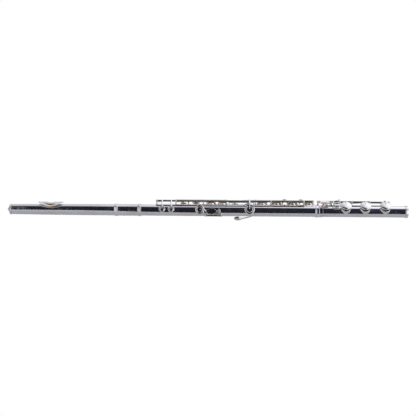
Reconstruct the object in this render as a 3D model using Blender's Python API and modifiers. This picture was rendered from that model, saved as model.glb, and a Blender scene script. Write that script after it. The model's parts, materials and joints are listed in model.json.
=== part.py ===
"""A closed-hole concert flute with an offset G and a B foot, built in Blender.

Metres, +Z up. The origin is on the tube's axis under the middle of the embouchure hole, +X runs
to the foot and -Y is the player's side. A direction around the tube is an angle from +Z towards
the player, so a positive angle is on the player's side and a negative one on the far side.
Every key is drawn closed on its tone hole, and its parent empty then turns it to its rest place.
"""

import math

import bmesh
import bpy
from mathutils import Matrix, Vector

MM = 0.001

# Tube
BORE_RADIUS = 9.5 * MM
TUBE_WALL = 0.4 * MM
TUBE_RADIUS = BORE_RADIUS + TUBE_WALL
CROWN_END_RADIUS = 8.9 * MM
TUBE_SIDES = 20
GAP = 0.3 * MM
SLIP_GAP = 0.2 * MM

# Stations along the tube
CROWN_TIP_X = -77.0 * MM
HEAD_START_X = -69.4 * MM
TAPER_END_X = 105.0 * MM
HEAD_END_X = 154.5 * MM
BODY_START_X = 157.5 * MM
BODY_END_X = 481.5 * MM
FOOT_START_X = 482.0 * MM
FOOT_END_X = 635.0 * MM

# Sleeves and rings
SLEEVE_WALL = 0.5 * MM
RING_HEIGHT = 0.35 * MM
BARREL_START_X = 113.0 * MM
BARREL_END_X = 160.6 * MM
RING_LENGTH = 6.4 * MM
SOCKET_START_X = 470.0 * MM
SOCKET_RING_LENGTH = 7.5 * MM
END_RING_LENGTH = 5.0 * MM

# Embouchure
LIP_HALF_LENGTH = 22.5 * MM
LIP_HALF_WIDTH = 11.6 * MM
LIP_MIDDLE_Y = -1.5 * MM
LIP_RADIUS = 13.6 * MM
LIP_THICKNESS = 1.0 * MM
MOUTH_HALF_LENGTH = 6.1 * MM
MOUTH_HALF_WIDTH = 5.2 * MM
RISER_WALL = 1.6 * MM
MOUTH_SIDES = 14

# Stopper and crown
FACE_PLATE_X = -17.3 * MM
CORK_LENGTH = 17.0 * MM
PLATE_THICKNESS = 1.4 * MM
STOPPER_ROD_RADIUS = 1.5 * MM
CROWN_RADIUS = 9.4 * MM
CROWN_BOSS_RADIUS = 3.0 * MM
CROWN_BOSS_LENGTH = 3.6 * MM
CROWN_END_WALL = 1.5 * MM
STOPPER_TRAVEL = 2.0 * MM

# Tone holes and cups, as distances from the tube's axis
SEAT_HEIGHT = 12.1 * MM
HOLE_SIDES = 12
CHIMNEY_WALL = 0.55 * MM
PAD_GAP = 0.2 * MM
PAD_THICKNESS = 2.1 * MM
PAD_OVERHANG = 1.2 * MM
CUP_WALL = 0.5 * MM
CUP_SKIRT = 1.5 * MM
CUP_TOP = 1.6 * MM
CUP_SIDES = 12
LIFT = 2.4 * MM

# Rods, hinge tubes and posts
ROD_RADIUS = 0.95 * MM
HINGE_BORE_RADIUS = 1.25 * MM
HINGE_RADIUS = 1.75 * MM
HINGE_SIDES = 10
END_PLAY = 0.3 * MM
POST_WIDTH = 2.6 * MM
POST_RADIUS = 2.3 * MM
POST_STEM_RADIUS = 1.3 * MM
BAR_SIDES = 4
BAR_TAPER = 0.96
RIB_THICKNESS = 1.1 * MM
RIB_MARGIN = 2.4 * MM
SADDLE_WALL = 0.7 * MM
SADDLE_WIDTH = 2.0 * MM
ARM_RADIUS = 1.25 * MM
ARM_FLATTEN = 0.7

# Hinge lines, as (angle from the top, distance from the tube's axis)
MAIN_LINE = (0.0, 17.6 * MM)
TRILL_LINE = (15.8, 17.7 * MM)
G_LINE = (-27.0, 17.6 * MM)
THUMB_LINE = (125.0, 14.6 * MM)
FOOT_LINE = (0.0, 17.0 * MM)
FOOT_B_LINE = (-15.1, 16.9 * MM)

# Tone holes: station, angle around the tube, hole radius
FAR_ANGLE = -45.0
G_ANGLE = -72.0
NEAR_ANGLE = 78.0
FOOT_ANGLE = 52.0
FOOT_FAR_ANGLE = -50.0
BODY_HOLES = {
    "d_sharp_trill": (198.0 * MM, NEAR_ANGLE, 3.8 * MM),
    "d_trill": (214.0 * MM, NEAR_ANGLE, 3.8 * MM),
    "c_sharp": (235.6 * MM, FAR_ANGLE, 3.4 * MM),
    "thumb_b": (265.0 * MM, NEAR_ANGLE, 6.2 * MM),
    "b_flat": (285.5 * MM, FAR_ANGLE, 6.6 * MM),
    "a": (306.0 * MM, FAR_ANGLE, 6.7 * MM),
    "g_upper": (328.0 * MM, G_ANGLE, 6.8 * MM),
    "g_lower": (351.5 * MM, G_ANGLE, 6.9 * MM),
    "g_sharp": (353.0 * MM, NEAR_ANGLE, 7.0 * MM),
    "f_sharp": (376.4 * MM, FAR_ANGLE, 7.2 * MM),
    "f": (402.0 * MM, FAR_ANGLE, 7.4 * MM),
    "e": (430.5 * MM, FAR_ANGLE, 7.6 * MM),
    "d": (460.4 * MM, FAR_ANGLE, 7.6 * MM),
}
FOOT_HOLES = {
    "foot_d_sharp": (492.4 * MM, FOOT_FAR_ANGLE, 7.6 * MM),
    "foot_c_sharp": (524.0 * MM, FOOT_ANGLE, 7.8 * MM),
    "foot_c": (558.5 * MM, FOOT_ANGLE, 7.9 * MM),
    "foot_b": (594.0 * MM, FOOT_ANGLE, 7.9 * MM),
}
HOLES = {**BODY_HOLES, **FOOT_HOLES}

# Post stations
MAIN_POSTS = (222.4 * MM, 271.2 * MM, 312.5 * MM, 367.4 * MM, 391.2 * MM, 466.6 * MM)
TRILL_END_POSTS = (188.5 * MM, 449.6 * MM)
TRILL_SADDLES = (222.4 * MM, 391.2 * MM)
G_POSTS = (317.3 * MM, 361.4 * MM)
THUMB_POSTS = (274.6 * MM, 302.8 * MM)
FOOT_POSTS = (474.9 * MM, 499.2 * MM, 535.2 * MM, 567.6 * MM)
FOOT_B_POSTS = (504.2 * MM, 567.6 * MM, 602.4 * MM)

# Rollers of the foot, with their middles at (y, z) while their keys are pressed
ROLLER_RADIUS = 2.1 * MM
PIN_RADIUS = 0.7 * MM
PIN_INSET = 0.4 * MM
ROLLER_START_X = 503.6 * MM
ROLLER_END_X = 511.4 * MM
C_ROLLER_CENTRE = (-10.1 * MM, 13.1 * MM)
B_ROLLER_CENTRE = (-13.4 * MM, 7.0 * MM)

# Colour, roughness and metallic value of each finish
FINISHES = {
    "silver": ((0.80, 0.80, 0.82, 1.0), 0.18, 1.0),
    "steel": ((0.55, 0.56, 0.58, 1.0), 0.30, 1.0),
    "pad_skin": ((0.72, 0.55, 0.18, 1.0), 0.60, 0.0),
    "cork": ((0.55, 0.38, 0.22, 1.0), 0.85, 0.0),
}


# ---------------------------------------------------------------- scene and basic solids

def clear_scene():
    """Remove everything that is in the file."""
    for item in list(bpy.data.objects):
        bpy.data.objects.remove(item, do_unlink=True)


def add_collection(name):
    """Return a new collection linked to the scene."""
    group = bpy.data.collections.new(name)
    bpy.context.scene.collection.children.link(group)
    return group


def make_materials():
    """Return one Principled material for each finish."""
    materials = {}
    for name, (colour, roughness, metallic) in FINISHES.items():
        material = bpy.data.materials.new(name)
        material.use_nodes = True
        shader = material.node_tree.nodes["Principled BSDF"]
        shader.inputs["Base Color"].default_value = colour
        shader.inputs["Roughness"].default_value = roughness
        shader.inputs["Metallic"].default_value = metallic
        materials[name] = material
    return materials


def add_object(name, mesh):
    """Put a mesh in the scene as an object of the flute's collection."""
    item = bpy.data.objects.new(name, mesh)
    PARTS.objects.link(item)
    return item


def bake(item):
    """Turn an object's modifiers and placement into its mesh."""
    bpy.context.view_layer.update()
    graph = bpy.context.evaluated_depsgraph_get()
    mesh = bpy.data.meshes.new_from_object(item.evaluated_get(graph))
    mesh.transform(item.matrix_world)
    item.modifiers.clear()
    item.data = mesh
    item.matrix_world = Matrix.Identity(4)
    return item


def cone_solid(radius_start, radius_end, depth, sides, place):
    """A capped cone along its own Z, put in the scene by a matrix."""
    bm = bmesh.new()
    bmesh.ops.create_cone(bm, cap_ends=True, segments=sides, radius1=radius_start,
                          radius2=radius_end, depth=depth, matrix=place)
    mesh = bpy.data.meshes.new("cone")
    bm.to_mesh(mesh)
    bm.free()
    return add_object("cone", mesh)


def rod_solid(x_start, x_end, radius, sides, centre=(0.0, 0.0)):
    """A round bar along X, with its middle at (y, z)."""
    middle = Vector(((x_start + x_end) / 2, centre[0], centre[1]))
    place = Matrix.Translation(middle) @ Matrix.Rotation(math.pi / 2, 4, "Y")
    return cone_solid(radius, radius, x_end - x_start, sides, place)


def bar_solid(start, end, radius_start, radius_end, flatten=1.0):
    """A tapered square bar between two points, flattened across the tube by a factor."""
    start = Vector(start)
    end = Vector(end)
    along = (end - start).normalized()
    side = Vector((1.0, 0.0, 0.0)) if abs(along.x) < 0.8 else Vector((0.0, 0.0, 1.0))
    side = (side - along * side.dot(along)).normalized()
    other = along.cross(side)
    turn = Matrix((side, other * flatten, along)).transposed().to_4x4()
    square = Matrix.Rotation(math.pi / BAR_SIDES, 4, "Z")
    place = Matrix.Translation((start + end) / 2) @ turn @ square
    return cone_solid(radius_start, radius_end, (end - start).length, BAR_SIDES, place)


def chain_solids(points, radius, flatten=1.0):
    """Bars through a list of points, each a little longer than its stretch so that they join.

    Each bar is slightly slimmer than the one before it, so that no two edges coincide.
    """
    pieces = []
    for start, end in zip(points, points[1:]):
        start = Vector(start)
        end = Vector(end)
        reach = (end - start).normalized() * radius * 0.5 * flatten
        pieces.append(bar_solid(start - reach, end + reach, radius, radius, flatten))
        radius *= BAR_TAPER
    return pieces


def box_solid(low, high, place=None):
    """A box between two corners, put in the scene by a matrix."""
    low = Vector(low)
    high = Vector(high)
    size = high - low
    shape = Matrix.Translation((low + high) / 2) @ Matrix.Diagonal((*size, 1.0))
    bm = bmesh.new()
    bmesh.ops.create_cube(bm, size=1.0, matrix=(place or Matrix.Identity(4)) @ shape)
    mesh = bpy.data.meshes.new("box")
    bm.to_mesh(mesh)
    bm.free()
    return add_object("box", mesh)


def turned_solid(profile, sides, place, closed=False):
    """A profile of (radius, height) points, top to bottom on the outer side, turned about Z."""
    edges = [(index, index + 1) for index in range(len(profile) - 1)]
    if closed:
        edges.append((len(profile) - 1, 0))
    mesh = bpy.data.meshes.new("turned")
    mesh.from_pydata([(radius, 0.0, height) for radius, height in profile], edges, [])
    item = add_object("turned", mesh)
    screw = item.modifiers.new("Screw", "SCREW")
    screw.axis = "Z"
    screw.angle = math.tau
    screw.steps = sides
    screw.render_steps = sides
    screw.use_merge_vertices = True
    screw.merge_threshold = 0.00001
    item.matrix_world = place
    return bake(item)


def boolean(item, tool, operation):
    """Add, cut or intersect with another solid, which is used up."""
    step = item.modifiers.new(operation.title(), "BOOLEAN")
    step.operation = operation
    step.solver = "EXACT"
    step.object = tool
    CUTTERS.objects.link(tool)
    PARTS.objects.unlink(tool)
    tool.hide_render = True
    tool.display_type = "WIRE"
    bake(item)
    bpy.data.objects.remove(tool, do_unlink=True)
    return item


def unite(pieces):
    """Join solids into one body."""
    whole = pieces[0]
    for piece in pieces[1:]:
        boolean(whole, piece, "UNION")
    return whole


def cut(item, tools):
    """Cut a list of solids out of another."""
    for tool in tools:
        boolean(item, tool, "DIFFERENCE")
    return item


# ---------------------------------------------------------------- placing things on the tube

def line_centre(line):
    """The (y, z) of a hinge line."""
    angle = math.radians(line[0])
    return (-line[1] * math.sin(angle), line[1] * math.cos(angle))


def hole_frame(station, angle):
    """A frame on the tube's axis whose Z points out through a tone hole."""
    return Matrix.Translation((station, 0.0, 0.0)) @ Matrix.Rotation(math.radians(angle), 4, "X")


def along_x(station=0.0):
    """A frame whose Z runs along the tube, towards the foot."""
    return Matrix.Translation((station, 0.0, 0.0)) @ Matrix.Rotation(math.pi / 2, 4, "Y")


def head_radius(station):
    """The outer radius of the head tube, which narrows in a parabola to the crown."""
    share = max(0.0, (TAPER_END_X - station) / (TAPER_END_X - HEAD_START_X))
    return TUBE_RADIUS - (TUBE_RADIUS - CROWN_END_RADIUS) * share * share


def pad_radius(name):
    """The radius of the pad over a tone hole."""
    return HOLES[name][2] + PAD_OVERHANG


def cup_radius(name):
    """The outer radius of the cup that holds a pad."""
    return pad_radius(name) + GAP + CUP_WALL


def cup_top_height():
    """The height of a closed cup's top face above the tube's axis."""
    return SEAT_HEIGHT + PAD_GAP + PAD_THICKNESS + GAP + CUP_TOP


def hinge_reach(name, line):
    """How far a hinge line stands from a tone hole's own axis, with its sign."""
    angle = math.radians(HOLES[name][1])
    y, z = line_centre(line)
    return y * math.cos(angle) + z * math.sin(angle)


def opening_angle(name, line):
    """How far a key turns to lift its pad, positive by the right-hand rule about +X."""
    return -math.asin(LIFT / hinge_reach(name, line))


def name_node(item, name, finish, pivot=None):
    """Name a solid, give it its finish, shade it, and hang it on its pivot."""
    item.name = name
    item.data.name = name
    item.data.materials.clear()
    material = MATERIALS[finish].copy()
    material.name = f"{name}_{finish}"
    item.data.materials.append(material)
    item.data.shade_smooth()
    item.data.set_sharp_from_angle(angle=math.radians(35))
    if pivot is not None:
        item.data.transform(Matrix.Translation(-pivot.location))
        item.parent = pivot
    return item


def add_pivot(name, origin, rest_angle=0.0):
    """An empty on a joint's axis that turns its children to their rest place."""
    empty = bpy.data.objects.new(f"{name}_pivot", None)
    PARTS.objects.link(empty)
    empty.location = origin
    empty.rotation_euler = (rest_angle, 0.0, 0.0)
    return empty


# ---------------------------------------------------------------- tubes

def tube_profile(stations, radius_at, wall):
    """A closed profile for a tube: down the outer side, then back up the bore."""
    outer = [(radius_at(x), x) for x in reversed(stations)]
    inner = [(radius_at(x) - wall, x) for x in stations]
    return outer + inner


def barrel_solid():
    """The sleeve that receives the head, with a raised ring at each end."""
    inner = TUBE_RADIUS + SLIP_GAP
    outer = inner + SLEEVE_WALL
    raised = outer + RING_HEIGHT
    profile = [
        (raised, BARREL_END_X),
        (raised, BARREL_END_X - RING_LENGTH),
        (outer, BARREL_END_X - RING_LENGTH),
        (outer, BARREL_START_X + RING_LENGTH),
        (raised, BARREL_START_X + RING_LENGTH),
        (raised, BARREL_START_X),
        (inner, BARREL_START_X),
        (inner, BARREL_END_X),
    ]
    return turned_solid(profile, TUBE_SIDES, along_x(), closed=True)


def head_stations():
    """Stations along the head tube, closer together where it narrows."""
    count = 4
    length = TAPER_END_X - HEAD_START_X
    return [HEAD_START_X + length * index / count for index in range(count + 1)] + [HEAD_END_X]


def mouth_cutter():
    """The oval cutter of the embouchure hole."""
    place = Matrix.Translation((0.0, 0.0, 12.0 * MM))
    stretch = Matrix.Diagonal((MOUTH_HALF_LENGTH, MOUTH_HALF_WIDTH, 1.0, 1.0))
    return cone_solid(1.0, 1.0, 14.0 * MM, MOUTH_SIDES, place @ stretch)


def build_head():
    """The head tube with its riser and lip plate."""
    profile = tube_profile(head_stations(), head_radius, TUBE_WALL)
    tube = turned_solid(profile, TUBE_SIDES, along_x(), closed=True)
    cut(tube, [mouth_cutter()])
    name_node(tube, "head_tube", "silver", HEAD)

    plate_inner = LIP_RADIUS - LIP_THICKNESS
    half = LIP_HALF_LENGTH + 2.0 * MM
    outer = [(LIP_RADIUS, half), (LIP_RADIUS, -half), (plate_inner, -half), (plate_inner, half)]
    plate = turned_solid(outer, TUBE_SIDES, along_x(), closed=True)
    oval = Matrix.Translation((0.0, LIP_MIDDLE_Y, LIP_RADIUS))
    oval = oval @ Matrix.Diagonal((LIP_HALF_LENGTH, LIP_HALF_WIDTH, 1.0, 1.0))
    boolean(plate, cone_solid(1.0, 1.0, 2.0 * LIP_RADIUS - 2.0 * MM, TUBE_SIDES, oval), "INTERSECT")
    cut(plate, [mouth_cutter()])
    name_node(plate, "lip_plate", "silver", HEAD)

    riser_place = Matrix.Translation((0.0, 0.0, 10.0 * MM))
    riser_shape = Matrix.Diagonal((MOUTH_HALF_LENGTH + RISER_WALL, MOUTH_HALF_WIDTH + RISER_WALL,
                                   1.0, 1.0))
    riser = cone_solid(1.0, 1.0, 8.0 * MM, MOUTH_SIDES, riser_place @ riser_shape)
    shell = rod_solid(-half, half, plate_inner - SLIP_GAP, TUBE_SIDES)
    boolean(riser, shell, "INTERSECT")
    cut(riser, [rod_solid(-half, half, head_radius(0.0) + SLIP_GAP, TUBE_SIDES), mouth_cutter()])
    name_node(riser, "riser", "silver", HEAD)


def build_stopper():
    """The cork stopper on its threaded rod, and the crown that turns on the rod."""
    bore = head_radius(FACE_PLATE_X - CORK_LENGTH) - TUBE_WALL
    plate_radius = bore - GAP - SLIP_GAP
    cork_end = FACE_PLATE_X - PLATE_THICKNESS - GAP
    cork_start = cork_end - CORK_LENGTH
    bore_start = CROWN_TIP_X + CROWN_END_WALL
    rod_start = bore_start + STOPPER_TRAVEL + MM
    screw = unite([
        rod_solid(FACE_PLATE_X - PLATE_THICKNESS, FACE_PLATE_X, plate_radius, TUBE_SIDES),
        rod_solid(rod_start, FACE_PLATE_X - PLATE_THICKNESS / 2, STOPPER_ROD_RADIUS, 12),
    ])
    name_node(screw, "stopper_screw", "silver", STOPPER)

    cork = rod_solid(cork_start, cork_end, plate_radius, TUBE_SIDES)
    hole = STOPPER_ROD_RADIUS + GAP
    cut(cork, [rod_solid(cork_start - MM, cork_end + MM, hole, 12)])
    name_node(cork, "stopper_cork", "cork", STOPPER)

    washer_end = cork_start - GAP
    washer = rod_solid(washer_end - PLATE_THICKNESS, washer_end, plate_radius, TUBE_SIDES)
    cut(washer, [rod_solid(washer_end - 2 * PLATE_THICKNESS, washer_end + MM, hole, 12)])
    name_node(washer, "stopper_washer", "silver", STOPPER)

    shoulder_x = HEAD_START_X - GAP
    boss_end = CROWN_TIP_X + CROWN_BOSS_LENGTH
    spigot_radius = CROWN_END_RADIUS - TUBE_WALL - GAP
    profile = [
        (0.0, shoulder_x + 5.0 * MM),
        (spigot_radius, shoulder_x + 5.0 * MM),
        (spigot_radius, shoulder_x),
        (CROWN_RADIUS, shoulder_x),
        (CROWN_RADIUS, boss_end + 0.9 * MM),
        (CROWN_RADIUS - 0.8 * MM, boss_end + 0.2 * MM),
        (CROWN_BOSS_RADIUS, boss_end),
        (CROWN_BOSS_RADIUS, CROWN_TIP_X),
        (0.0, CROWN_TIP_X),
    ]
    crown = turned_solid(profile, TUBE_SIDES, along_x())
    thread_end = shoulder_x + 6.0 * MM
    cut(crown, [rod_solid(bore_start, thread_end, hole, 12)])
    name_node(crown, "crown", "silver", CROWN)


def chimney_solid(name):
    """The solid outside of a tone hole's drawn wall."""
    station, angle, radius = HOLES[name]
    base = BORE_RADIUS - 4.0 * MM
    place = hole_frame(station, angle) @ Matrix.Translation((0, 0, (SEAT_HEIGHT + base) / 2))
    wall_radius = radius + CHIMNEY_WALL
    return cone_solid(wall_radius, wall_radius, SEAT_HEIGHT - base, HOLE_SIDES, place)


def hole_cutter(name, margin=0.0, low=2.0 * MM, high=15.0 * MM):
    """A cutter along a tone hole's axis, as wide as the hole and a margin."""
    station, angle, radius = HOLES[name]
    place = hole_frame(station, angle) @ Matrix.Translation((0, 0, (low + high) / 2))
    return cone_solid(radius + margin, radius + margin, high - low, HOLE_SIDES, place)


def pierced_tube(solid, x_start, x_end, names):
    """Add chimneys to a solid tube, then cut its bore and its tone holes."""
    unite([solid] + [chimney_solid(name) for name in names])
    cut(solid, [rod_solid(x_start - MM, x_end + MM, BORE_RADIUS, TUBE_SIDES)])
    cut(solid, [hole_cutter(name) for name in names])
    return solid


def build_body_tube():
    """The body tube, and the barrel that receives the head."""
    solid = rod_solid(BODY_START_X, BODY_END_X, TUBE_RADIUS, TUBE_SIDES)
    pierced_tube(solid, BODY_START_X, BODY_END_X, BODY_HOLES)
    name_node(solid, "body_tube", "silver", BODY)
    name_node(barrel_solid(), "barrel", "silver", BODY)


def build_foot_tube():
    """The foot tube with its socket and its end ring."""
    socket_inner = TUBE_RADIUS + SLIP_GAP
    socket_outer = socket_inner + SLEEVE_WALL
    ring_radius = socket_outer + RING_HEIGHT
    socket_end = FOOT_START_X + 1.2 * MM
    ring_end = SOCKET_START_X + SOCKET_RING_LENGTH
    end_ring_x = FOOT_END_X - END_RING_LENGTH
    profile = [
        (0.0, FOOT_END_X),
        (ring_radius, FOOT_END_X),
        (ring_radius, end_ring_x),
        (TUBE_RADIUS, end_ring_x),
        (TUBE_RADIUS, socket_end),
        (socket_outer, socket_end),
        (socket_outer, ring_end),
        (ring_radius, ring_end),
        (ring_radius, SOCKET_START_X),
        (0.0, SOCKET_START_X),
    ]
    solid = turned_solid(profile, TUBE_SIDES, along_x())
    pierced_tube(solid, SOCKET_START_X, FOOT_END_X, FOOT_HOLES)
    cut(solid, [rod_solid(SOCKET_START_X - MM, FOOT_START_X, socket_inner, TUBE_SIDES)])
    name_node(solid, "foot_tube", "silver", FOOT)


# ---------------------------------------------------------------- ribs and posts

def rib_strip(x_start, x_end, angle, left, right, seat=TUBE_RADIUS):
    """A strip bent round the tube, from left to right of a line at an angle around it."""
    inner = seat + GAP
    outer = inner + RIB_THICKNESS
    profile = [(outer, x_end), (outer, x_start), (inner, x_start), (inner, x_end)]
    strip = turned_solid(profile, 2 * TUBE_SIDES, along_x(), closed=True)
    place = Matrix.Rotation(math.radians(angle), 4, "X")
    box = box_solid((x_start - MM, -left, 0.0), (x_end + MM, right, outer + MM), place)
    return boolean(strip, box, "INTERSECT")


def post_solids(station, line, head_radius=POST_RADIUS, seat=TUBE_RADIUS):
    """A post standing on the tube, with its head round a hinge line."""
    centre = line_centre(line)
    angle = math.radians(line[0])
    base = seat + GAP + RIB_THICKNESS / 2
    foot = (station, -base * math.sin(angle), base * math.cos(angle))
    top = (station, centre[0], centre[1])
    half = POST_WIDTH / 2 if head_radius == POST_RADIUS else SADDLE_WIDTH / 2
    return [
        bar_solid(foot, top, POST_STEM_RADIUS, POST_STEM_RADIUS * 0.8),
        rod_solid(station - half, station + half, head_radius, HINGE_SIDES, centre),
    ]


def bore_cutter(station, line, radius):
    """A cutter for the hole in a post's head."""
    return rod_solid(station - POST_WIDTH, station + POST_WIDTH, radius, HINGE_SIDES,
                     line_centre(line))


def build_rib(name, strip, posts, near_holes, owner):
    """A rib with its posts, given as (stations, line, bore radius), clear of the tone holes."""
    pieces = [strip]
    bores = []
    for stations, line, bore in posts:
        for station in stations:
            pieces += post_solids(station, line, max(POST_RADIUS, bore + SADDLE_WALL))
            bores.append(bore_cutter(station, line, bore))
    margin = CHIMNEY_WALL + GAP
    cut(strip, [hole_cutter(hole, margin, 4.0 * MM, SEAT_HEIGHT + MM) for hole in near_holes])
    rib = unite(pieces)
    cut(rib, bores)
    name_node(rib, name, "silver", owner)


def build_ribs():
    """Every rib of the body and the foot."""
    saddle_bore = HINGE_RADIUS + GAP
    main_end = MAIN_POSTS[-1] + RIB_MARGIN
    strip = rib_strip(TRILL_END_POSTS[0] - RIB_MARGIN, main_end, 0.0, 5.8 * MM, 1.6 * MM)
    posts = [(MAIN_POSTS, MAIN_LINE, HINGE_BORE_RADIUS),
             (TRILL_END_POSTS, TRILL_LINE, HINGE_BORE_RADIUS),
             (TRILL_SADDLES, TRILL_LINE, saddle_bore)]
    build_rib("main_rib", strip, posts, BODY_HOLES, BODY)

    side = math.radians(G_LINE[0])
    middle = -TUBE_RADIUS * math.sin(side)
    strip = rib_strip(G_POSTS[0] - 1.9 * MM, G_POSTS[1] + 1.6 * MM, 0.0, -1.9 * MM,
                      middle + 2.0 * MM)
    build_rib("g_rib", strip, [(G_POSTS, G_LINE, HINGE_BORE_RADIUS)],
              ("g_upper", "g_lower", "f_sharp"), BODY)

    strip = rib_strip(THUMB_POSTS[0] - 1.8 * MM, THUMB_POSTS[1] + 1.8 * MM, THUMB_LINE[0],
                      2.4 * MM, 2.4 * MM)
    build_rib("thumb_rib", strip, [(THUMB_POSTS, THUMB_LINE, HINGE_BORE_RADIUS)],
              ("thumb_b",), BODY)

    strip = rib_strip(FOOT_START_X + 2.4 * MM, FOOT_B_POSTS[-1] + RIB_MARGIN, 0.0, 3.0 * MM,
                      6.4 * MM)
    posts = [(FOOT_POSTS[1:], FOOT_LINE, HINGE_BORE_RADIUS),
             ((FOOT_B_POSTS[0], FOOT_B_POSTS[2]), FOOT_B_LINE, HINGE_BORE_RADIUS),
             (FOOT_B_POSTS[1:2], FOOT_B_LINE, saddle_bore)]
    build_rib("foot_rib", strip, posts, FOOT_HOLES, FOOT)

    seat = TUBE_RADIUS + SLIP_GAP + SLEEVE_WALL + RING_HEIGHT
    station = FOOT_POSTS[0]
    half = POST_WIDTH / 2 + 0.6 * MM
    strip = rib_strip(station - half, station + half, 0.0, 2.4 * MM, 2.4 * MM, seat)
    post = unite([strip] + post_solids(station, FOOT_LINE, POST_RADIUS, seat))
    cut(post, [bore_cutter(station, FOOT_LINE, HINGE_BORE_RADIUS)])
    name_node(post, "foot_d_sharp_post", "silver", FOOT)


# ---------------------------------------------------------------- keys

def cup_solid(name):
    """A closed cup on its tone hole, still without the recess for its pad."""
    station, angle, _ = HOLES[name]
    radius = cup_radius(name)
    top = cup_top_height()
    skirt = SEAT_HEIGHT + PAD_GAP + PAD_THICKNESS - CUP_SKIRT
    profile = [
        (0.0, top),
        (radius - 1.2 * MM, top - 0.2 * MM),
        (radius, top - 1.1 * MM),
        (radius, skirt),
        (0.0, skirt),
    ]
    return turned_solid(profile, CUP_SIDES, hole_frame(station, angle))


def disc_over_hole(name, low, high, radius):
    """A disc over a tone hole between two heights."""
    station, angle, _ = HOLES[name]
    place = hole_frame(station, angle) @ Matrix.Translation((0.0, 0.0, (low + high) / 2))
    return cone_solid(radius, radius, high - low, CUP_SIDES, place)


def cup_arm(name, line, start_x=None, via=()):
    """An arm from a hinge line, over the edge of a cup to its middle."""
    station, angle, _ = HOLES[name]
    frame = hole_frame(station, angle)
    radius = cup_radius(name)
    top = cup_top_height()
    side = math.copysign(1.0, hinge_reach(name, line))
    edge = frame @ Vector((0.0, side * (radius + 0.7 * MM), top - MM))
    middle = frame @ Vector((0.0, side * 0.5 * MM, top + 0.2 * MM))
    start = (start_x or station, *line_centre(line))
    return chain_solids([start, *via, edge, middle], ARM_RADIUS, flatten=ARM_FLATTEN)


def touch_solid(station, angle, height, half_length, half_width, thickness=1.2 * MM):
    """An oval touch whose face points away from the tube."""
    place = hole_frame(station, angle) @ Matrix.Translation((0.0, 0.0, height))
    place = place @ Matrix.Diagonal((half_length, half_width, 1.0, 1.0))
    return cone_solid(1.0, 0.88, thickness, CUP_SIDES, place)


def hinge_tubes(spans, line):
    """Hinge tubes along a line, still solid."""
    centre = line_centre(line)
    return [rod_solid(start, end, HINGE_RADIUS, HINGE_SIDES, centre) for start, end in spans]


def build_key(name, line, spans, cups, extras=(), opens=True, inner_rod=None):
    """A key with its pads: hinge tubes, cup arms, cups and touches made into one solid.

    A key that stands open is turned by its pivot until its pads are lifted. A key on an inner
    rod is fixed to it, and any other key turns on a steel through its tubes.
    """
    pieces = hinge_tubes(spans, line)
    for cup in cups:
        pieces.append(cup_solid(cup["hole"]))
        pieces += cup_arm(cup["hole"], line, cup.get("start_x"), cup.get("via", ()))
    pieces += list(extras)
    centre = line_centre(line)
    if inner_rod:
        start, end = inner_rod
        pieces.append(rod_solid(start, end, ROD_RADIUS, HINGE_SIDES, centre))
    key = unite(pieces)
    if not inner_rod:
        start = spans[0][0] - MM
        end = spans[-1][1] + MM
        cut(key, [rod_solid(start, end, HINGE_BORE_RADIUS, HINGE_SIDES, centre)])
    recess_top = SEAT_HEIGHT + PAD_GAP + PAD_THICKNESS + GAP
    angle = 0.0
    for cup in cups:
        hole = cup["hole"]
        recess = disc_over_hole(hole, SEAT_HEIGHT - MM, recess_top, pad_radius(hole) + GAP)
        cut(key, [recess])
        if opens:
            angle = opening_angle(hole, line)
    pivot = add_pivot(name, (0.0, *centre), angle)
    name_node(key, f"{name}_key", "silver", pivot)
    for cup in cups:
        hole = cup["hole"]
        low = SEAT_HEIGHT + PAD_GAP
        pad = disc_over_hole(hole, low, low + PAD_THICKNESS, pad_radius(hole))
        name_node(pad, f"{hole}_pad", "pad_skin", pivot)
    return pivot


def between(left_post, right_post):
    """The span of a hinge tube between two posts, with its end play."""
    inset = POST_WIDTH / 2 + END_PLAY
    return (left_post + inset, right_post - inset)


def share(span, *cuts):
    """Divide a span at stations, leaving the end play between neighbours."""
    spans = []
    start = span[0]
    for station in cuts:
        spans.append((start, station))
        start = station + END_PLAY
    spans.append((start, span[1]))
    return spans


def build_main_keys():
    """The keys on the main line."""
    touch_x = 258.0 * MM
    height = cup_top_height()
    touch = [touch_solid(touch_x, FAR_ANGLE, height - 0.4 * MM, 7.0 * MM, 4.6 * MM)]
    reach = hole_frame(touch_x, FAR_ANGLE) @ Vector((0.0, -2.0 * MM, height - 0.4 * MM))
    touch += chain_solids([(touch_x, *line_centre(MAIN_LINE)), reach], ARM_RADIUS,
                          flatten=ARM_FLATTEN)
    build_key("c_sharp", MAIN_LINE, [between(MAIN_POSTS[0], MAIN_POSTS[1])],
              [{"hole": "c_sharp"}], touch)
    b_flat_span, a_span = share(between(MAIN_POSTS[1], MAIN_POSTS[2]), 296.6 * MM)
    build_key("b_flat", MAIN_LINE, [b_flat_span], [{"hole": "b_flat"}])
    build_key("a", MAIN_LINE, [a_span], [{"hole": "a"}])
    build_key("f_sharp", MAIN_LINE, [between(MAIN_POSTS[3], MAIN_POSTS[4])],
              [{"hole": "f_sharp"}])
    spans = share(between(MAIN_POSTS[4], MAIN_POSTS[5]), 416.2 * MM, 445.4 * MM)
    for name, span in zip(("f", "e", "d"), spans):
        build_key(name, MAIN_LINE, [span], [{"hole": name}])
    build_key("g", G_LINE, [between(*G_POSTS)], [{"hole": "g_upper"}, {"hole": "g_lower"}])


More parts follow.
